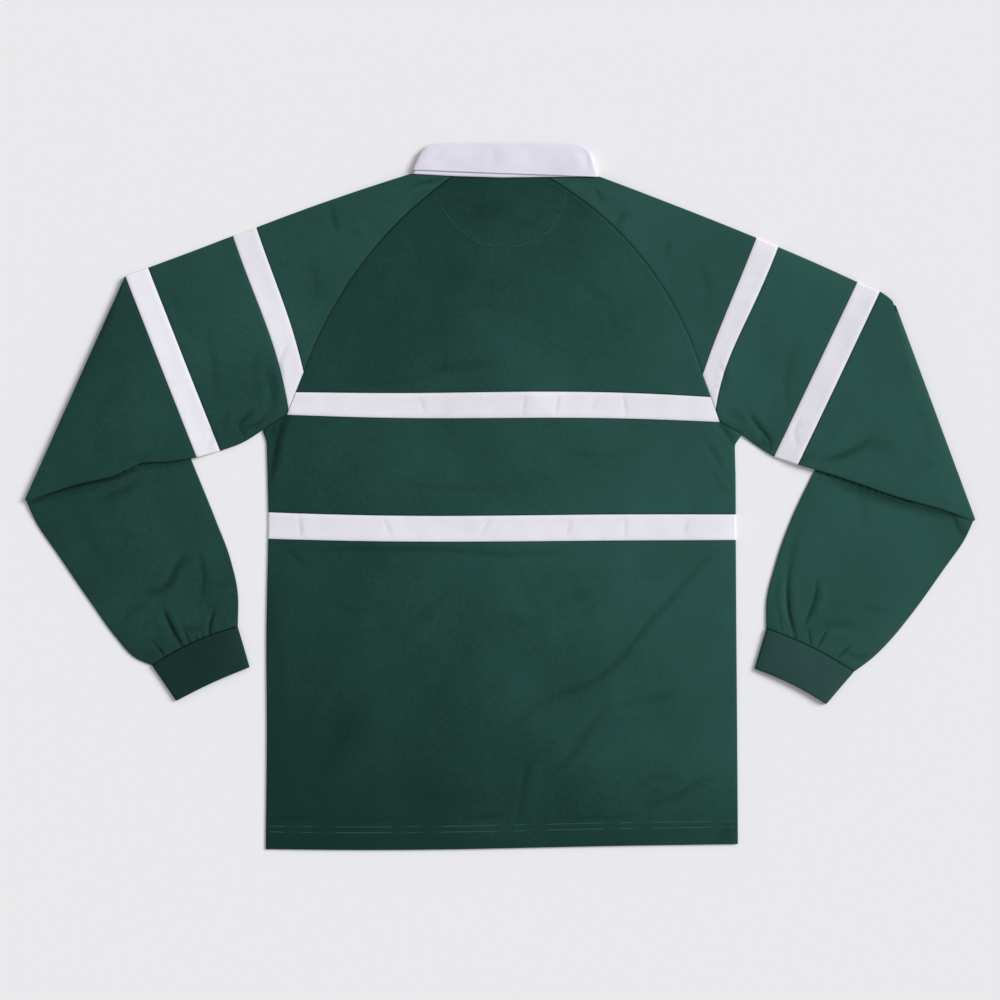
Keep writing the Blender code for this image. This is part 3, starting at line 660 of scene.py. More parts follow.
def pressed(x, y, creases):
    """Sum of the troughs and ridges at each point."""
    total = np.zeros_like(x)
    for depth, width, *path in creases:
        path = np.reshape(path, (-1, 2)).astype(float)
        curve = through(marks(path), path, np.linspace(0, 1, 4 * len(path)))
        low, high = curve.min(axis=0) - 3 * width, curve.max(axis=0) + 3 * width
        near = np.nonzero((x > low[0]) & (x < high[0]) & (y > low[1]) & (y < high[1]))[0]
        gap, share = to_path(x[near], y[near], curve)
        total[near] += depth * np.exp(-(gap / width) ** 2) * ends_faded(share)
    return total


def waves(x, y):
    """Long low swells, on bent axes so that they don't repeat."""
    bent_x, bent_y = x + 17 * np.sin(y / 61 + 0.7), y + 14 * np.sin(x / 53)
    total = np.zeros_like(x)
    for height, length, direction, start in WAVES:
        turn = math.radians(direction)
        travel = bent_x * math.cos(turn) + bent_y * math.sin(turn)
        total += height * np.sin(2 * np.pi * travel / length + start)
    return total


def top_relief(x, y):
    """How far the top layer stands above its flat place."""
    air = loft(x, y)
    relief = air + (waves(x, y) + pressed(x, y, BACK_CREASES)) * np.clip(air / LOFT * 1.15, 0, 1)
    return np.maximum(relief + pressed(x, y, HOOP_CREASES), -0.25)


def front_swells(x, y):
    """The same for the front layer, which lies on the table."""
    return 0.25 * np.abs(waves(y, x))


print("creases", len(BACK_CREASES) + len(HOOP_CREASES))

# %% [markdown]
# ## One net for every piece of cloth
# A piece of cloth starts as Blender's grid. Its columns and rows go to chosen shares of the width and
# the length, closer together beside a seam or a fold, where the cloth turns quickly. The grid keeps the
# cloth's own map in metres and each point's distance to the nearest sewn edge.

# %% Net, map and shell
NEAR_EDGE = (0.5, 1.1, 2.0, 3.2)
AIR = 0.03              # least gap between the cloth and the table
FOLD_ROUND = 2.0        # how far the round of a folded edge reaches into the cloth
RELIEF_ROUND = 12.0     # how far in from a fold the creases have their full height
RUN = np.linspace(0, 1, 41)


def stations(length, step, first=True):
    """Shares along a length: even steps, with closer ones at the sewn or folded ends."""
    low = NEAR_EDGE[-1] if first else 0.0
    high = length - NEAR_EDGE[-1]
    even = np.linspace(low, high, max(round((high - low) / step), 1) + 1)
    start = [0.0, *NEAR_EDGE[:-1]] if first else []
    end = [length - gap for gap in (*NEAR_EDGE[-2::-1], 0.0)]
    return np.array([*start, *even, *end]) / length


def both_layers(width, fine, coarse):
    """Shares round a flat tube: the layer that shows, then the hidden one back again."""
    upper = stations(width, fine) / 2
    lower = stations(width, coarse) / 2 + 0.5
    return np.concatenate((upper, lower[1:]))


def over_and_back(u):
    """Share of the width, which runs up along one layer and down along the other."""
    return np.where(u <= 0.5, u * 2, 2 - u * 2)


def rolled(distance, reach=FOLD_ROUND):
    """0 at a fold and 1 from reach on: the round of a folded edge."""
    return np.sqrt(1 - (1 - np.clip(distance / reach, 0, 1)) ** 2)


def seam_drop(edge):
    """A seam pulls its edges down, and the allowance inside lifts the cloth beside it."""
    return 0.22 * np.exp(-((edge - 4.5) / 3.0) ** 2) - 0.5 * np.exp(-(edge / 1.1) ** 2)


def border(plan, u, v):
    """Plan path along one border of a piece, u or v being RUN."""
    return np.stack(plan(u + 0 * RUN, v + 0 * RUN)[:2], axis=-1)


def cloth(node, material, across, along, place, borders, grain, thickness=SHELL, sign=None, creases=None):
    """A piece of cloth: place(u, v) gives x, y, z at shares of width and length.

    borders are (path, strength of the painted shade at its start and at its end, which points it counts for).
    """
    name = f"cloth_{node}"
    net = bmesh.new()
    net.loops.layers.uv.new("cloth")
    bmesh.ops.create_grid(net, x_segments=len(across) - 1, y_segments=len(along) - 1, size=0.5)
    mesh = mesh_of(net, name)
    count = len(mesh.vertices)
    grid = np.empty(count * 3)
    mesh.vertices.foreach_get("co", grid)
    grid = grid.reshape(-1, 3)
    column = np.rint((grid[:, 0] + 0.5) * (len(across) - 1)).astype(int)
    row = np.rint((grid[:, 1] + 0.5) * (len(along) - 1)).astype(int)
    u, v = across[column], along[row]
    x, y, z = place(u, v)
    edge, painted_shade_strength = np.full(count, 50.0), np.zeros(count)
    for path, tone_start, tone_end, counts in borders:
        gap, share = to_path(x, y, path)
        closer = (gap < edge) & counts(u, v)
        edge = np.where(closer, gap, edge)
        painted_shade_strength = np.where(closer, tone_start + (tone_end - tone_start) * share, painted_shade_strength)
    drop = seam_drop(edge)
    z = np.maximum(z + (drop if sign is None else drop * sign(u, v)), thickness / 2 + AIR)
    mesh.vertices.foreach_set("co", (np.stack((x, y, z), axis=-1) * MM).ravel())
    # The material reads the distance to a sewn edge, the strength of its painted shade and the depth of a
    # crease, to paint shade there.
    valleys = np.zeros(count) if creases is None else np.clip(-creases(u, v, x, y), 0, 6)
    for key, values in (("edge", edge), ("painted_shade_strength", painted_shade_strength), ("crease", valleys)):
        mesh.attributes.new(key, "FLOAT", "POINT").data.foreach_set("value", values)
    corner = np.empty(len(mesh.loops), dtype=int)
    mesh.loops.foreach_get("vertex_index", corner)
    map_u, map_v = grain(u, v, x, y)
    flat_map = np.stack((map_u[corner], map_v[corner]), axis=-1) * MM
    mesh.uv_layers["cloth"].data.foreach_set("uv", flat_map.ravel())
    welded = bmesh.new()
    welded.from_mesh(mesh)
    bmesh.ops.remove_doubles(welded, verts=welded.verts, dist=0.00001)
    bmesh.ops.recalc_face_normals(welded, faces=welded.faces)
    welded.to_mesh(mesh)
    welded.free()
    return finished(name, mesh, material, [node], thickness)


def finished(name, mesh, material, nodes, thickness=None):
    """Link a mesh as a smooth piece that rides on the body and stands for its CAD nodes."""
    mesh.materials.append(material)
    mesh.shade_smooth()
    piece = bpy.data.objects.new(name, mesh)
    scene.collection.objects.link(piece)
    if thickness:
        shell = piece.modifiers.new("shell", "SOLIDIFY")
        shell.thickness = thickness * MM
        shell.offset = 0.0
    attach(piece, "root")
    if nodes:
        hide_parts(*nodes)
    return piece


def mesh_of(net, name):
    """Turn a net into a mesh, and free it."""
    mesh = bpy.data.meshes.new(name)
    net.to_mesh(mesh)
    net.free()
    return mesh


def everywhere(u, v):
    return np.ones_like(u, dtype=bool)


def upper_layer(u, v):
    return u <= 0.5


def lower_layer(u, v):
    return u > 0.5


def layer_sign(u, v):
    return np.where(u <= 0.5, 1.0, -1.0)


def plan_grain(u, v, x, y):
    """Body cloth: the grain runs straight up the shirt."""
    return x, y


def all_creases(u, v, x, y):
    return pressed(x, y, BACK_CREASES + HOOP_CREASES)


def back_creases(u, v, x, y):
    """The creases of the layer that shows, where a piece has two."""
    return all_creases(u, v, x, y) * (u <= 0.5)


def measured(piece):
    """Area in square metres of a piece's net, before its shell."""
    return round(sum(face.area for face in piece.data.polygons), 4)


# %% [markdown]
# ## Back and front of the body
# Each panel runs between two rows of the table, from side seam to side seam. The hoops are separate
# strips of white jersey that are sewn in. Back and front meet at the side seams, where the cloth rolls
# over, so a panel's height comes down to the middle of the stack at its sides.


# %% Panels between rows
def row_middles(rows, v, smooth):
    """Left end, height at the middle and right end of the rows at each share of the length."""
    lefts, middles, rights, wanders = zip(*rows)
    knots = marks([(0.0, middle) for middle in middles])
    if smooth:
        return [through(knots, values, v) for values in (lefts, middles, rights, wanders)]
    middle, wander = np.interp(v, knots, middles), np.interp(v, knots, wanders)
    return straight(knots, lefts, v), middle, straight(knots, rights, v), wander


def across_row(left, middle, right, wander, u):
    """Plan place on a row's even curve, a little low in its left half and high in its right half."""
    point = line(left, right, u) if np.ndim(u) == 0 else left + (right - left) * u[:, None]
    sag = middle - (left[..., 1] + right[..., 1]) / 2
    return point[..., 0], point[..., 1] + 4 * u * (1 - u) * sag - wander * np.sin(2 * np.pi * u)


def stack(x, y, from_fold):
    """Middle of both layers, and half the way between them, which closes up at a fold."""
    low, high = front_height(x, y), back_height(x, y)
    return (low + high) / 2, (high - low) / 2 * rolled(from_fold)


def lay(x, y, from_side, layer):
    """Height of the back or front layer, which rolls together at the side seams."""
    middle, half = stack(x, y, from_side)
    if layer == "front":
        return middle - half + front_swells(x, y) * rolled(from_side, 20.0)
    return middle + half + top_relief(x, y) * rolled(from_side, RELIEF_ROUND)


OUTSIDE = {"back": lambda u, v: 1.0, "front": lambda u, v: -1.0}        # which way the right side faces
CREASES_OF = {"back": all_creases, "front": None}
# How strong the painted shade is in the ditch of each panel's upper and lower seam.
SEAM_PAINTED_SHADE = {
    "hoop_upper": (0.25, 0.25), "middle": (1.0, 1.0), "hoop_lower": (0.25, 0.25), "lower": (1.0, 0.0),
}


def body_panel(layer, part, step):
    """A panel between two or more rows of the table."""
    rows = [BODY_ROWS[key] for key in BODY_PANELS[part]]
    inset = SHELL / 2

    def plan(u, v):
        left, middle, right, wander = row_middles(rows, v, part != "middle")
        return across_row(left + (inset, 0), middle, right - (inset, 0), wander, u)

    def place(u, v):
        x, y = plan(u, v)
        left, _, right, _ = row_middles(rows, v, part != "middle")
        from_side = np.minimum(x - left[:, 0], right[:, 0] - x) - inset
        sewn_in = part == "hoop_upper"
        return x, y, lay(x, y, from_side + (8.0 if sewn_in else 0.0), layer)

    borders = [(border(plan, RUN, end), painted_shade_strength, painted_shade_strength, everywhere)
               for end, painted_shade_strength in zip((0.0, 1.0), SEAM_PAINTED_SHADE[part]) if painted_shade_strength]
    width = rows[-1][2][0] - rows[-1][0][0]
    length = abs(rows[-1][1] - rows[0][1])
    across = stations(width, step)
    along = stations(length, min(step, length / 6))
    material = white_jersey if "hoop" in part else green_jersey
    return cloth(f"{layer}_{part}", material, across, along, place, borders, plan_grain,
                 sign=OUTSIDE[layer], creases=CREASES_OF[layer])


body = {}
for layer, step in (("back", 2.5), ("front", 5.0)):
    for part in BODY_PANELS:
        body[layer, part] = body_panel(layer, part, step)
        print(layer, part, measured(body[layer, part]), "m2")

# %% [markdown]
# ## Chest and back above the hoop
# The upper panels narrow to the neck along the raglan seams. The sleeve heads follow the very same
# curves, so the seams close. The front is slit down its middle for the placket.

# %% Upper panels
CORNER_SHARE = 0.9          # share of the length where the curved seam turns into the straight one


def raglan(side, top, bulges, share):
    return bowed(top[side], HOOP_CORNER[side], bulges[side], share)


def upper_rows(v, top, bulges, top_middle):
    """Ends and middle heights from the neck (0) down to the hoop (1)."""
    share = np.clip(v / CORNER_SHARE, 0, 1)
    below = np.clip((v - CORNER_SHARE) / (1 - CORNER_SHARE), 0, 1)
    ends = {}
    for side in (-1, 1):
        curved = raglan(side, top, bulges, share)
        ends[side] = curved + np.subtract(HOOP_START[side], HOOP_CORNER[side]) * below[:, None]
    level = (ends[-1][:, 1] + ends[1][:, 1]) / 2
    hang = (top_middle - (top[-1][1] + top[1][1]) / 2) * (1 - share) ** 2
    foot = BODY_ROWS["hoop_upper_top"][1] - (HOOP_START[-1][1] + HOOP_START[1][1]) / 2
    return ends[-1], level + hang + foot * v ** 3, ends[1], BODY_ROWS["hoop_upper_top"][3] * v ** 3


def upper_panel(layer, top, bulges, top_middle, step):
    def plan(u, v):
        return across_row(*upper_rows(v, top, bulges, top_middle), u)

    def place(u, v):
        x, y = plan(u, v)
        return x, y, lay(x, y, np.full_like(x, 80.0), layer)

    # Each seam with the strength of its painted shade at its start and at its end.
    seams = ((0.0, RUN, 1.1, 0.3), (1.0, RUN, 0.75, 0.25), (RUN, 1.0, 1.0, 1.0), (RUN, 0.0, 1.2, 1.2))
    borders = [(border(plan, u, v), start, end, everywhere) for u, v, start, end in seams]
    across = stations(420.0, step)
    along = stations(240.0, step)
    return cloth(f"{layer}_upper", green_jersey, across, along, place, borders, plan_grain,
                 sign=OUTSIDE[layer], creases=CREASES_OF[layer])


body["back", "upper"] = upper_panel("back", NECK_BACK, BACK_BULGE, NECK_BACK_MIDDLE, 2.5)
body["front", "upper"] = upper_panel("front", NECK_FRONT, FRONT_BULGE, NECK_FRONT_MIDDLE, 4.5)

# %% Slit for the placket
SLIT_HALF, SLIT_BOTTOM = 15.0, 138.0


def cut_slit(piece):
    """Take out the cloth where the placket goes, cutting the net along the slit first."""
    net = bmesh.new()
    net.from_mesh(piece.data)
    for corner, normal in (((-SLIT_HALF, 0), (1, 0)), ((SLIT_HALF, 0), (1, 0)), ((0, SLIT_BOTTOM), (0, 1))):
        bmesh.ops.bisect_plane(net, geom=net.verts[:] + net.edges[:] + net.faces[:], dist=0.00001,
                               plane_co=(corner[0] * MM, corner[1] * MM, 0), plane_no=(*normal, 0))
    inside = []
    for face in net.faces:
        middle = face.calc_center_median() / MM
        if abs(middle.x) < SLIT_HALF and middle.y > SLIT_BOTTOM:
            inside.append(face)
    bmesh.ops.delete(net, geom=inside, context="FACES")
    net.to_mesh(piece.data)
    net.free()
    return len(inside)


print("faces cut for the slit", cut_slit(body["front", "upper"]))
for layer in ("back", "front"):
    print(layer, "upper", measured(body[layer, "upper"]), "m2")

# %% [markdown]
# ## Sleeves
# A sleeve is a tube pressed flat. One net goes once round it: over the layer that shows, round the fold
# at the underarm, back through the layer below and up at the overarm, where the net is welded. The
# raglan head and the white band below it are open strips, folded over at the overarm edge.


# %% Heads and upper bands
SLEEVE_STEP = 2.8       # between the rows and columns of a sleeve's nets


def sideways(run, side):
    """Across a row, towards the body."""
    unit = run / np.linalg.norm(run, axis=-1)[..., None]
    across = np.stack((unit[..., 1], -unit[..., 0]), axis=-1)
    return across * np.where(across[..., :1] * side < 0, 1.0, -1.0)


def folded_strip(side, node, material, over, back_end, front_end, bow, sizes, borders_of):
    """A strip from the back seam, over the fold and along the hidden layer to the front seam."""
    width, length = sizes

    def plan(u, v):
        share = over_and_back(u)
        ends = np.where((u <= 0.5)[:, None], back_end(v), front_end(v))
        fold = over(v)
        away = fold - ends
        reach = np.linalg.norm(away, axis=1)
        point = ends + away * (share * (1 - SHELL / 2 / reach))[:, None]
        bend = bow(v) * np.sin(np.pi * (1 - share) ** BAND_SKEW[side])
        point = point + sideways(away, side) * bend[:, None]
        return point[:, 0], point[:, 1], reach * (1 - share)

    def place(u, v):
        x, y, from_fold = plan(u, v)
        middle, half = stack(x, y, from_fold)
        relief = top_relief(x, y) * rolled(from_fold, RELIEF_ROUND)
        return x, y, np.where(u <= 0.5, middle + half + relief, middle - half)

    across = both_layers(width, SLEEVE_STEP, SLEEVE_STEP * 1.7)
    along = stations(length, SLEEVE_STEP)

    def grain(u, v, x, y):
        return v * length, u * 2 * width

    return cloth(node, material, across, along, place, borders_of(plan), grain, sign=layer_sign,
                 creases=back_creases)


def side_borders(plan, back, front):
    """The raglan seam of the layer that shows and of the hidden one, with the painted seam shade's strength
    at both ends.
    """
    return [(border(plan, 0.0, RUN), *back, upper_layer), (border(plan, 1.0, RUN), *front, lower_layer)]


def end_borders(plan, painted_shade_strength):
    """The two seams across a strip. They stop short of the fold's far side."""
    return [(border(plan, RUN * 0.499, end), painted_shade_strength, painted_shade_strength, everywhere) for end in (0.0, 1.0)]


# The numbers are the strength of the painted seam shade.
def head_borders(plan):
    return side_borders(plan, (0.9, 0.3), (0.9, 0.5)) + end_borders(plan, 1.0)


def band_borders(plan):
    return end_borders(plan, 0.25) + side_borders(plan, (0.4, 0.4), (0.4, 0.4))


SLEEVES = ((-1, "sleeve_left"), (1, "sleeve_right"))
sleeves = {}
for side, name in SLEEVES:
    top = BAND_TOP[side]
    sleeves[side, "head"] = folded_strip(
        side, f"{name}_head", sleeve_jersey,
        lambda v: bowed(NECK_SIDE[side], top["in"], SHOULDER_BULGE[side], v),
        lambda v: raglan(side, NECK_BACK, BACK_BULGE, v),
        lambda v: raglan(side, NECK_FRONT, FRONT_BULGE, v),
        lambda v: BAND_BOW[side][0] * v ** 5, (172.0, 270.0), head_borders)
    sleeves[side, "band_1"] = folded_strip(
        side, f"{name}_hoop_upper", white_jersey,
        lambda v: line(top["in"], top["out"], v),
        lambda v: line(HOOP_CORNER[side], BAND_TIP[side], v),
        lambda v: line(HOOP_CORNER[side], BAND_TIP[side], v),
        lambda v: BAND_BOW[side][0] + (BAND_BOW[side][1] - BAND_BOW[side][0]) * v,
        (185.0, 30.0), band_borders)
    print(name, "head", measured(sleeves[side, "head"]), "band", measured(sleeves[side, "band_1"]), "m2")


# %% [markdown]
# ## The tubes
# Below the upper band come a green tube, the lower white band and the long lower sleeve. The last one
# fans out to the elbow, turns over half a circle and lies back underneath down to the cuff, so its
# sections are given in order: plan of both edges, rise, and the tilt of the turn.

# %% Forearm creases and gathers
FOREARM_CREASES = {
    -1: (
        (-5.6, 2.0, -536, -12, -521, -5, -508, 1, -493, 6.5, -472, 12.5,
         -448, 17.5, -428, 22.5, -410, 30, -394, 37),
        (-1.5, 4.6, -524, -9, -500, 0, -470, 8, -440, 15, -412, 26),
        (-2.0, 1.6, -404, 33, -385, 34, -368, 37, -346, 40),
        (-1.4, 5.0, -446, -4, -428, 2, -412, 12, -402, 22),
        (-3.4, 2.4, -377, -126, -372, -138, -365, -152, -358, -164, -354, -172),
        (1.2, 3.4, -369, -128, -362, -142, -355, -152),
        (0.9, 3.4, -385, -134, -379, -148, -370, -164),
        (-3.0, 2.0, -320, -127, -323, -137, -325, -147, -325, -160),
        (0.9, 3.0, -329, -130, -331, -142),
        (-1.6, 3.2, -362, -146, -347, -149, -331, -147),
        (-1.8, 1.6, -354, -150, -350, -158, -346, -168),
        (-1.2, 1.3, -340, -154, -339, -166),
        (-1.1, 1.3, -333, -152, -333, -162),
        (-1.9, 1.9, -391, -161, -382, -170, -374, -182),
        (-1.3, 3.0, -403, -178, -392, -175, -381, -173),
        (-3.0, 4.4, -350, -66, -363, -80, -370, -96, -381, -106, -398, -108),
        (1.2, 6.0, -364, -66, -376, -84, -388, -94),
        (0.9, 6.0, -360, -98, -366, -110, -378, -120),
        (-1.2, 4.4, -394, -107, -399, -121, -414, -130, -424, -146),
        (-1.8, 3.6, -337, -64, -332, -92, -336, -118),
        (-1.0, 4.0, -332, -118, -325, -124, -318, -126),
        (-1.2, 6.0, -447, -3, -426, 6, -404, 15),
        (-0.7, 7.0, -470, -30, -456, -58, -440, -84),
        (-0.8, 1.5, -309, -136, -309, -150),
    ),
    1: (
        (-3.6, 2.0, 348, 31, 370, 22, 389, 15, 409, 8, 426, 1,
         448, -6, 471, -12, 490, -17, 507, -21, 524, -24),
        (-1.6, 4.4, 370, 18, 409, 4, 448, -10, 490, -21, 515, -26),
        (-3.2, 2.3, 324, -78, 322, -107, 324, -132, 329, -152, 331, -162),
        (1.0, 3.4, 315, -90, 314, -118, 318, -142),
        (0.9, 3.4, 332, -96, 331, -118, 335, -138),
        (-1.1, 4.6, 334, -36, 328, -58, 324, -84),
        (-2.5, 2.3, 355, -94, 353, -112, 347, -130, 340, -145),
        (1.0, 3.6, 363, -98, 361, -116, 354, -134),
        (-1.9, 1.6, 345, -148, 346, -156, 348, -168),
        (-1.8, 1.8, 367, -149, 361, -158, 355, -170),
        (-2.2, 2.0, 391, -169, 384, -174, 377, -181),
        (-1.2, 3.0, 389, -176, 400, -180, 410, -178),
        (-1.2, 4.0, 359, -145, 378, -144, 396, -143),
        (0.8, 4.0, 364, -153, 380, -155, 394, -158),
        (-0.9, 5.0, 407, -123, 420, -128, 434, -129),
        (-0.8, 5.0, 405, 12, 407, -10, 405, -36),
        (-1.0, 1.5, 312, -126, 314, -142, 316, -156),
        (-3.0, 2.3, 507, -16, 511, -27, 515, -37, 524, -44),
        (1.2, 4.0, 518, -20, 522, -30, 524, -38),
        (-0.9, 5.0, 372, 14, 400, 4, 430, -8),
    ),
}
GATHERED = 90.0     # length of the lower sleeve that gathers to the cuff
PUFF = 2.3          # how far the gathered cloth stands up above the cuff
ELBOW_CREASE = {-1: ((-530.2, -8.0), (-339.0, 41.0)), 1: ((530.1, -30.0), (333.6, 33.0))}


def forearm_relief(side, x, y, from_edge, gather):
    """Lift of the forearm's upper layer, which stays low under the sleeve that lies on it."""
    start, end = ELBOW_CREASE[side]
    run = np.subtract(end, start) / math.dist(start, end)
    out = ((x - start[0]) * run[1] - (y - start[1]) * run[0]) * (1 if side == -1 else -1)
    free = 1 - fade(out + 4, 46)
    air = (1 - np.exp(-from_edge / 13.0)) * free
    puff = PUFF * gather * np.clip(from_edge / 16, 0, 1) ** 0.7
    creased = (0.8 * waves(x + 300, y) + pressed(x, y, FOREARM_CREASES[side])) * np.clip(from_edge / 5, 0, 1)
    return np.maximum(1.8 * air + puff + creased * np.clip(out / 5, 0, 1), -0.5 * np.clip(out / 5, 0, 1))


# %% A tube from its sections
TURN_FADE = 0.35            # radians of the turn over which the relief of both layers fades out
# The forearm gets painted shadow along the sleeve's edge, where it comes out from under the sleeve.
UNDER_EDGE = (0.0, -0.9)    # where the forearm comes out from under the sleeve, from its edge
UNDER_PAINTED_SHADOW = (0.6, 1.3)    # how dark the forearm is there, at the hoop and at the elbow


def tube(side, node, material, sections, step, coarse, tones, thickness=SHELL, half=HALF_GAP, inner=None):
    """A flat tube through its sections, which the function section() gives."""
    keys = ("over", "under", "rise", "tilt", "gather", "bow")
    overs, unders, rises, tilts, gathers, bows = (np.array([row[key] for row in sections]) for key in keys)
    middles = (overs + unders) / 2
    length, knots = added_up(np.maximum(gaps(middles), ELBOW_RADIUS * np.abs(np.diff(tilts))))
    fold_over, fold_under = ELBOW_FOLD[side]
    along_fold = np.subtract(fold_under, fold_over) / math.dist(fold_under, fold_over)
    outward = np.array((along_fold[1], -along_fold[0]))
    if outward[0] * side < 0:
        outward = -outward
    turned = len(set(tilts)) > 1

    def edges(v):
        """Both edges: smooth curves, but straight from section to section in the turn."""
        bend = np.interp(v, knots, [1.0 if 0 < tilt < math.pi else 0.0 for tilt in tilts])[:, None]
        return [through(knots, points, v) * (1 - bend) + straight(knots, points, v) * bend
                for points in (overs, unders)]

    def plan(u, v):
        share = over_and_back(u)
        over, under = edges(v)
        width = np.linalg.norm(under - over, axis=1)
        trim = thickness / 2 / width
        inside = trim + share * (1 - 2 * trim)
        point = over + (under - over) * inside[:, None]
        up_arm = sideways(under - over, side) * np.where(tilts[-1] > 0 or half > 1, -1.0, 1.0)
        up_arm = up_arm * np.sign(up_arm[:, 1:])
        point = point + up_arm * (np.interp(v, knots, bows) * np.sin(np.pi * inside))[:, None]
        if inner is not None:
            blend = np.clip(1 - v / knots[1], 0, 1)[:, None]
            at_start = overs[0] + (unders[0] - overs[0]) * inside[:, None]
            bent = straight(marks(inner), inner, inside) - at_start
            point = over + (under - over) * inside[:, None] + bent * blend
        return point, np.minimum(share, 1 - share) * width

    def place(u, v):
        point, from_edge = plan(u, v)
        x, y = point[:, 0], point[:, 1]
        direction = layer_sign(u, v)
        tilt, rise = np.interp(v, knots, tilts), np.interp(v, knots, rises)
        wall = direction * half * rolled(from_edge)
        upper = fade(tilt, TURN_FADE) * (direction > 0)
        lower = fade(math.pi - tilt, TURN_FADE) * (direction < 0)
        wall = wall + upper * top_relief(x, y) * rolled(from_edge, RELIEF_ROUND)
        if turned:
            gather = np.interp(v, knots, gathers)
            wall = wall - lower * forearm_relief(side, x, y, from_edge, gather)
        turn = np.clip(tilt, 0, math.pi)
        on_turn = ((tilt > 0) & (tilt < math.pi)) | (rise == ELBOW_HEIGHT)
        radius = np.where(on_turn, ELBOW_RADIUS, 0.0)
        out = np.sin(turn) * (radius + wall)
        z = rise + np.cos(turn) * (radius + wall)
        return x + outward[0] * out, y + outward[1] * out, z

    # A painted seam shade at each end of the tube, as strong as tones gives.
    at = [plan(RUN * 0.5, end + 0 * RUN)[0] for end in (0.0, 1.0)]
    borders = [(at[0], tones[0], tones[0], lambda u, v: v < 0.3),
               (at[1], tones[1], tones[1], lambda u, v: v > 0.7)]
    width = max(np.linalg.norm(unders - overs, axis=1))
    across = both_layers(width, step, coarse)
    along = stations(length, min(step, length / 6))
    if turned:
        # Painted shadow on the forearm beside the folded edge of the sleeve that lies on it.
        borders.append((unders[:6] + UNDER_EDGE, *UNDER_PAINTED_SHADOW, lambda u, v: (u > 0.5) & (v > 0.5)))
        fine = stations(GATHERED, 1.6, first=False) * GATHERED + length - GATHERED
        along = np.concatenate((along[along * length < length - GATHERED - 1.5], fine / length))

    def grain(u, v, x, y):
        return u * 2 * width, v * length

    def sign(u, v):
        return layer_sign(u, v) if not turned else layer_sign(u, v) * np.where(v > 0.5, -1.0, 1.0)

    def creases(u, v, x, y):
        if not turned:
            return back_creases(u, v, x, y)
        elbow = np.interp(v, knots, tilts) > math.pi / 2
        forearm = pressed(x, y, FOREARM_CREASES[side]) * (elbow & (u > 0.5))
        return back_creases(u, v, x, y) * ~elbow + forearm

    return cloth(node, material, across, along, place, borders, grain, thickness, sign=sign,
                 creases=creases)


def section(points, rise, **more):
    """Plan of both edges, rise, tilt of the turn in radians, gather and bow of the row."""
    plain = {"over": points[0], "under": points[1], "rise": rise, "tilt": 0.0, "gather": 0.0, "bow": 0.0}
    return plain | more


# %% Tubes of both sleeves
TURN_STEPS = 8
# Strength of the painted shade in the ditch of the cuff seam.
CUFF_PAINTED_SHADE = {-1: 1.0, 1: 0.6}       # how dark the ditch of the cuff seam is
CUFF_BOW = {-1: (4.6, 1.6), 1: (3.8, 2.8)}      # how far the cuff's seam and its edge bow up the arm


def lower_sleeve_sections(side):
    upper, fold = UPPER_SLEEVE[side], ELBOW_FOLD[side]
    keys = ("band_out", "fan_1", "fan_2", "fan_3", "fan_4")
    sections = [section(upper[key], UPPER_RISE) for key in keys]
    for step in range(TURN_STEPS + 1):
        sections.append(section(fold, ELBOW_HEIGHT, tilt=math.pi * step / TURN_STEPS))
    gathers = {"elbow": 0, "upper": 0, "middle": 0, "lower": 0.1, "gather": 0.6, "cuff_seam": 1.0}
    for key, gather in gathers.items():
        bow = CUFF_BOW[side][0] * gather ** 2
        sections.append(section(FOREARM[side][key], FLAT_RISE, tilt=math.pi, gather=gather, bow=bow))
    return sections


for side, name in SLEEVES:
    upper = UPPER_SLEEVE[side]
    start = (BAND_TOP[side]["out"], UNDERARM[side])
    run = np.subtract(BAND_TIP[side], BAND_TOP[side]["out"])
    share = np.linspace(0, 1, 25)
    bend = BAND_BOW[side][1] * np.sin(np.pi * share ** BAND_SKEW[side])
    edge = line(BAND_TOP[side]["out"], BAND_TIP[side], share) + sideways(run, side) * bend[:, None]
    seam = [*edge, RAGLAN_LOW[side], UNDERARM[side]]
    rows = [section(start, FLAT_RISE), section(upper["middle"], FLAT_RISE),
            section(upper["band_in"], BAND_RISE), section(upper["band_out"], UPPER_RISE)]
    sleeves[side, "middle"] = tube(side, f"{name}_middle", sleeve_jersey, rows[:3], SLEEVE_STEP, 5.0,
                                   (0.5, 1.0), inner=seam)
    sleeves[side, "band_2"] = tube(side, f"{name}_hoop_lower", white_jersey, rows[2:], SLEEVE_STEP, 5.0,
                                   (0.25, 0.25))
    sleeves[side, "lower"] = tube(side, f"{name}_lower", sleeve_jersey, lower_sleeve_sections(side),
                                  SLEEVE_STEP, SLEEVE_STEP, (1.0, CUFF_PAINTED_SHADE[side]))
    print(name, [(part, measured(sleeves[side, part])) for part in ("middle", "band_2", "lower")])

# %% Cuffs
CUFF_RISE, CUFF_HALF, CUFF_SHELL = 2.05, 1.15, 1.6
for side, name in SLEEVES:
    arm = FOREARM[side]
    halfway = tuple(tuple(line(arm["cuff_seam"][end], arm["cuff_edge"][end], 0.5)) for end in (0, 1))
    bow, edge_bow = CUFF_BOW[side]
    sleeves[side, "cuff"] = tube(
        side, f"{name}_cuff", green_rib,
        [section(arm["cuff_seam"], CUFF_RISE, bow=bow), section(halfway, CUFF_RISE, bow=(bow + edge_bow) / 2),
         section(arm["cuff_edge"], CUFF_RISE, bow=edge_bow)],
        1.8, 3.0, (1.0, 0.0), thickness=CUFF_SHELL, half=CUFF_HALF)
    print(name, "cuff", measured(sleeves[side, "cuff"]), "m2")

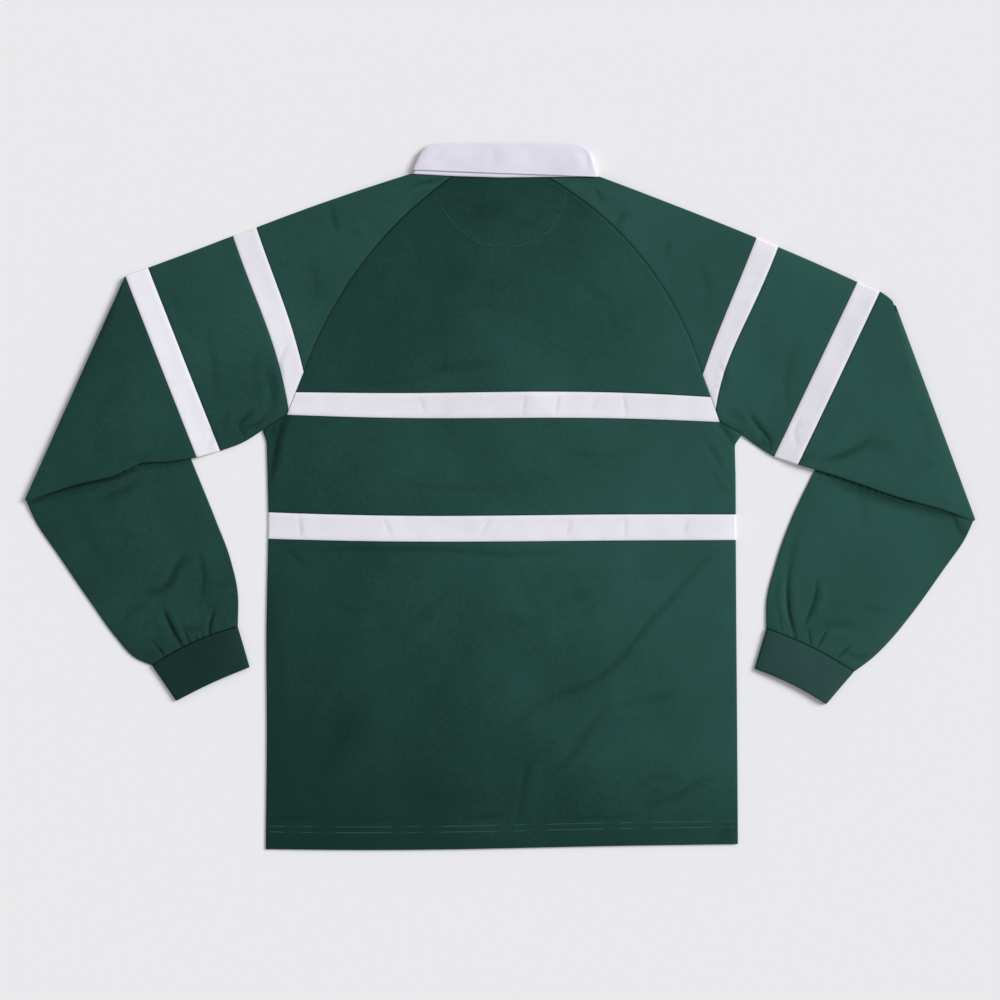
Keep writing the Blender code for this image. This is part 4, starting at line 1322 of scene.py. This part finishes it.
# %% [markdown]
# ## Collar
# The collar is one doubled strip: a stand that is sewn to the neck, a fold along the top and the fall
# that turns down. At the back the fall lies on top. At each side of the neck the strip rolls over, and
# at the front the fall lies underneath, so one tilt per section, from 0 to half a turn, makes it all.

# %% Sections of the collar
COLLAR_SIDE = {
    -1: {"seam": (-95.8, 361.2), "fold": (-87.0, 386.4), "edge": (-96.0, 365.6)},
    1: {"seam": (107.0, 359.6), "fold": (99.8, 386.4), "edge": (108.8, 357.8)},
}
COLLAR_BACK = {
    -1: ((0.30, (-80.0, 393.2), (-84.0, 365.4)), (0.62, (-69.0, 395.8), (-66.0, 364.6)),
         (1.00, (-46.0, 396.2), (-49.0, 363.8))),
    1: ((0.30, (93.6, 392.6), (92.0, 358.4)), (0.62, (84.0, 395.6), (72.0, 359.3)),
        (1.00, (56.0, 396.2), (52.0, 360.2))),
}
COLLAR_TURN = ((-74.0, 372.0), (-103.0, 336.0))
COLLAR_FRONT = (((-65.0, 352.0), (-3.0, 303.4), -5.0), ((-102.0, 310.0), (-50.0, 219.0), -6.0))
STAND_OFFSET, FALL_OFFSET, COLLAR_MIDDLE, COLLAR_SHELL = 0.9, 2.9, 3.65, 1.3
FRONT_STEPS, SIDE_STEPS = 10, 8
STAND_END, FALL_START = 0.35, 0.45      # shares of the strip's width: stand, fold at the top, fall
COLLAR_ROLL = 0.35      # how round the strip is where it turns over at the side of the neck


def collar_half(side):
    """Sections from the middle of the back round one side of the neck to the middle front."""
    corner = COLLAR_SIDE[side]
    rows = []
    for share, fold, edge in reversed(COLLAR_BACK[side]):
        seam = line(NECK_SIDE[side], NECK_BACK[side], share)
        rows.append(((seam[0], seam[1] + 0.3), fold, edge, 0.0))
    for step in range(SIDE_STEPS + 1):
        rows.append((corner["seam"], corner["fold"], corner["edge"], math.pi * step / SIDE_STEPS))
    widen = NECK_SIDE[side][0] / NECK_SIDE[-1][0]
    seam = line(NECK_SIDE[side], NECK_FRONT[side], 0.5)
    rows.append(((seam[0] - side * 0.4, seam[1] + 0.3), *((x * widen, y) for x, y in COLLAR_TURN), math.pi))
    left, right = np.array(NECK_FRONT[-1]), np.array(NECK_FRONT[1])
    for step in range(FRONT_STEPS + 2):
        x = NECK_FRONT[side][0] + (SLIT_HALF * side - NECK_FRONT[side][0]) * min(step / FRONT_STEPS, 1.0)
        _, y = across_row(left, NECK_FRONT_MIDDLE, right, 0.0, (x - left[0]) / (right[0] - left[0]))
        x = x if step <= FRONT_STEPS else 3.0 * side
        points = [bowed(*way, np.array(step / (FRONT_STEPS + 1))) for way in COLLAR_FRONT]
        rows.append(((x, y + 0.3), *((point[0] * widen, point[1]) for point in points), math.pi))
    return rows


def collar_sections():
    middle = ((2.0, NECK_BACK_MIDDLE + 0.3), (2.0, 396.2), (2.0, 361.9), 0.0)
    return collar_half(-1)[::-1] + [middle] + collar_half(1)


# %% The folded strip
def collar():
    rows = collar_sections()
    seams, folds, edges = (np.array([row[item] for row in rows]) for item in (0, 1, 2))
    tilts = np.array([row[3] for row in rows])
    length, knots = added_up(np.maximum(gaps(folds), 3.0 * np.abs(np.diff(tilts))))
    axes = {}
    for side in (-1, 1):
        rise = np.subtract(COLLAR_SIDE[side]["fold"], COLLAR_SIDE[side]["seam"])
        rise = rise / np.linalg.norm(rise)
        axes[side] = np.array((rise[1] * side, -rise[0] * side))
    bend = (FALL_OFFSET - STAND_OFFSET) / 2

    def place(u, v):
        seam, fold, edge = (straight(knots, points, v) for points in (seams, folds, edges))
        tilt = np.interp(v, knots, tilts)
        outward = np.where((v < 0.5)[:, None], axes[-1], axes[1])
        rise = fold - seam
        rise = rise / np.linalg.norm(rise, axis=1)[:, None]
        centre = fold - rise * (bend + COLLAR_SHELL / 2)
        stand = np.clip(u / STAND_END, 0, 1)
        turn = np.clip((u - STAND_END) / (FALL_START - STAND_END), 0, 1) * math.pi
        fall = np.clip((u - FALL_START) / (1 - FALL_START), 0, 1)
        flat = np.where((u < STAND_END)[:, None], seam + (centre - seam) * stand[:, None],
                        centre + (edge - centre) * fall[:, None])
        flat = flat + rise * (bend * np.sin(turn))[:, None]
        offset = STAND_OFFSET + bend * (1 - np.cos(turn))
        crown = 0.5 * np.sin(np.pi * fall) * (1 - 0.5 * np.sin(tilt))
        offset = offset + crown + 0.12 * np.sin(v * length / 9.0) * fall * np.sin(np.pi * fall)
        out = np.sin(tilt) * offset * COLLAR_ROLL
        x, y = flat[:, 0] + outward[:, 0] * out, flat[:, 1] + outward[:, 1] * out
        free = (u > FALL_START) * (tilt < 1.0) * np.sin(np.pi * fall) ** 0.5
        dents = pressed(x, y, COLLAR_CREASES) * free
        return x, y, COLLAR_MIDDLE + np.cos(tilt) * offset + dents

    across = np.concatenate((
        np.linspace(0, STAND_END, 16), np.linspace(STAND_END, FALL_START, 9)[1:],
        FALL_START + (1 - FALL_START) * stations(34.0, 1.5, first=False)[1:]))
    along = np.linspace(0, 1, round(length / 1.9) + 1)

    def grain(u, v, x, y):
        return v * length, u * 75.0

    return cloth("collar", white_twill, across, along, place, [], grain, thickness=COLLAR_SHELL)


COLLAR_CREASES = (
    (-0.8, 4.0, -84, 372, -72, 380, -64, 388),
    (0.4, 6.0, -60, 374, -30, 380),
    (-0.5, 5.0, -10, 392, -6, 378, -12, 366),
    (-0.4, 7.0, 30, 390, 36, 374),
    (-0.8, 4.0, 92, 388, 97, 378, 98, 366),
    (0.4, 4.0, 84, 384, 88, 370),
)
collar_piece = collar()
print("collar", measured(collar_piece), "m2")

# %% [markdown]
# ## Placket and buttons
# The front opening is closed by two straight strips, which the shirt lies on. The rubber buttons are
# turned: half a section, spun once round, with a rim, a dished face and a rounded back.

# %% Placket
PLACKET_TOP = 271.5


def placket_strip(part, half_width, bottom, top, extra):
    def place(u, v):
        x, y = (u - 0.5) * 2 * half_width, top + (bottom - top) * v
        return x, y, front_height(x, y) + extra

    across, along = stations(2 * half_width, 2.5), stations(top - bottom, 3.0)
    return cloth(f"placket_{part}", white_twill, across, along, place, [], plan_grain)


placket_pieces = [placket_strip("outer", SLIT_HALF - 0.3, SLIT_BOTTOM + 0.3, PLACKET_TOP, 0.0),
                  placket_strip("inner", SLIT_HALF - 2, SLIT_BOTTOM + 2, PLACKET_TOP - 1, 1.5)]
print("placket", [measured(piece) for piece in placket_pieces], "m2")

# %% Buttons
BUTTON_PLACES = (250.0, 202.0, 154.0)
BUTTON_SECTION = ((0.0, 1.5), (2.6, 1.5), (4.6, 1.45), (5.7, 1.2), (6.0, 0.75), (5.7, 0.25), (5.0, 0.02),
                  (4.2, 0.0), (3.5, 0.2), (3.1, 0.5), (0.0, 0.5))


def button(number, y):
    net = bmesh.new()
    verts = [net.verts.new((radius * MM, 0.0, height * MM)) for radius, height in BUTTON_SECTION]
    edges = [net.edges.new(pair) for pair in zip(verts, verts[1:])]
    bmesh.ops.spin(net, geom=verts + edges, cent=(0, 0, 0), axis=(0, 0, 1), angle=2 * math.pi, steps=40,
                   use_merge=True)
    bmesh.ops.remove_doubles(net, verts=net.verts, dist=0.000005)
    bmesh.ops.recalc_face_normals(net, faces=net.faces)
    bmesh.ops.translate(net, verts=net.verts, vec=(0, y * MM, 0))
    name = f"rubber_button_{number}"
    return finished(name, mesh_of(net, name), white_rubber, [f"button_{number}"])


buttons = [button(number, y) for number, y in enumerate(BUTTON_PLACES, 1)]
print("buttons", len(buttons))

# %% [markdown]
# ## Sewing
# Stitches are what makes a seam look sewn. Each is one small drawn-out ball, half sunk in the cloth,
# and all stitches of a row are one mesh. The hem has twin rows, a half moon holds the neck facing.


# %% Rows of stitches
SUNK = 0.3         # how far the deeper stitches of a row lie in the cloth


def stitch_row(net, path, height, pitch, length, half_width):
    """Stitches along a plan path, on the surface that height(x, y) gives."""
    path = np.asarray(path, float)
    fine = through(marks(path), path, np.linspace(0, 1, 200)) if len(path) > 2 else path
    total, knots = added_up(gaps(fine))
    count = int(total / pitch)
    shares = (np.arange(count) + 0.5) / count
    xs, ys = straight(knots, fine, shares).T
    dx, dy = (straight(knots, fine, shares + 0.002) - straight(knots, fine, shares - 0.002)).T
    zs = height(xs, ys) - SUNK * np.clip(np.sin(xs / 19) + np.sin(xs / 6.3 + 1) + 0.4, 0, 1)
    zs = np.maximum(zs, half_width)
    size = Matrix.Diagonal((length / 2 * MM, half_width * MM, half_width * 0.8 * MM, 1.0))
    for index in range(count):
        turn = Matrix.Rotation(math.atan2(dy[index], dx[index]), 4, "Z")
        place = Matrix.Translation((xs[index] * MM, ys[index] * MM, zs[index] * MM))
        bmesh.ops.create_icosphere(net, subdivisions=1, radius=1.0, matrix=place @ turn @ size)
    return count


def sewn(name, material, rows):
    net = bmesh.new()
    count = sum(stitch_row(net, *row) for row in rows)
    print(name, count, "stitches")
    return finished(name, mesh_of(net, name), material, [])


def back_top(x, y):
    """Upper side of the back layer."""
    return back_height(x, y) + top_relief(x, y) + SHELL / 2


def front_under(x, y):
    """Lower side of the front layer."""
    return front_height(x, y) + front_swells(x, y) - SHELL / 2


def hem_row(above):
    """A row that runs a fixed distance above the hem's edge."""
    left, middle, right, wander = BODY_ROWS["hem"]
    points = []
    for share in np.linspace(0.008, 0.992, 30):
        x, y = across_row(np.array(left), middle, np.array(right), wander, share)
        points.append((x, y + above))
    return points


HALF_MOON = ((-71, 345), (-66, 328), (-57, 312), (-44, 298), (-23, 284), (0, 280), (21, 281), (44, 290),
             (60, 303), (70, 322), (75, 343))
HEM_ROWS = (19.5, 26.0)
PITCH = 2.8
hem_stitches = sewn("thread_hem", green_thread, [
    (hem_row(above), height, PITCH, 1.5, 0.48) for above in HEM_ROWS for height in (back_top, front_under)])
moon_stitches = sewn("thread_half_moon", dull_thread, [(HALF_MOON, back_top, PITCH, 2.0, 0.4)])

# %% [markdown]
# ## Sheets
# The pieces of cloth are counted.

for (layer, part), piece in body.items():
    on = () if layer == "front" else (body["front", part],)

for (side, part), piece in sleeves.items():
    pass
print("sheets", len(body) + len(sleeves) + 3)

# %% [markdown]
# ## Table and light
# The table is pale and plain. A large soft light from the upper right gives the creases slight shade,
# on top of the shade painted into them, and an even sky fills in the rest, so that almost no shadow
# falls on the table.

# %% Table
table = bmesh.new()
bmesh.ops.create_grid(table, x_segments=1, y_segments=1, size=20.0)
table_mesh = mesh_of(table, "table")
paper = Finish("table_paper", {"Specular IOR Level": 0.1})
paper_grain = paper.noise(300.0)
table_mesh.materials.append(paper.done(paper.mixed(paper_grain, shade(233, 233, 235), shade(235, 235, 237)),
                                       0.9 + paper_grain * 0.05, paper_grain, 0.00002))
table_piece = bpy.data.objects.new("table", table_mesh)
scene.collection.objects.link(table_piece)

# %% Light
scene.view_settings.view_transform = "Standard"
world = bpy.data.worlds.new("sky")
world.use_nodes = True
world.node_tree.nodes["Background"].inputs["Color"].default_value = (1.0, 1.0, 1.0, 1.0)
world.node_tree.nodes["Background"].inputs["Strength"].default_value = 0.46
scene.world = world

sun = bpy.data.lights.new("key", "SUN")
sun.energy = 2.9
sun.angle = math.radians(28)
key = bpy.data.objects.new("key", sun)
key.rotation_euler = Vector((0.80, 0.34, 0.62)).to_track_quat("Z", "Y").to_euler()
scene.collection.objects.link(key)
print("lights", len(bpy.data.lights))
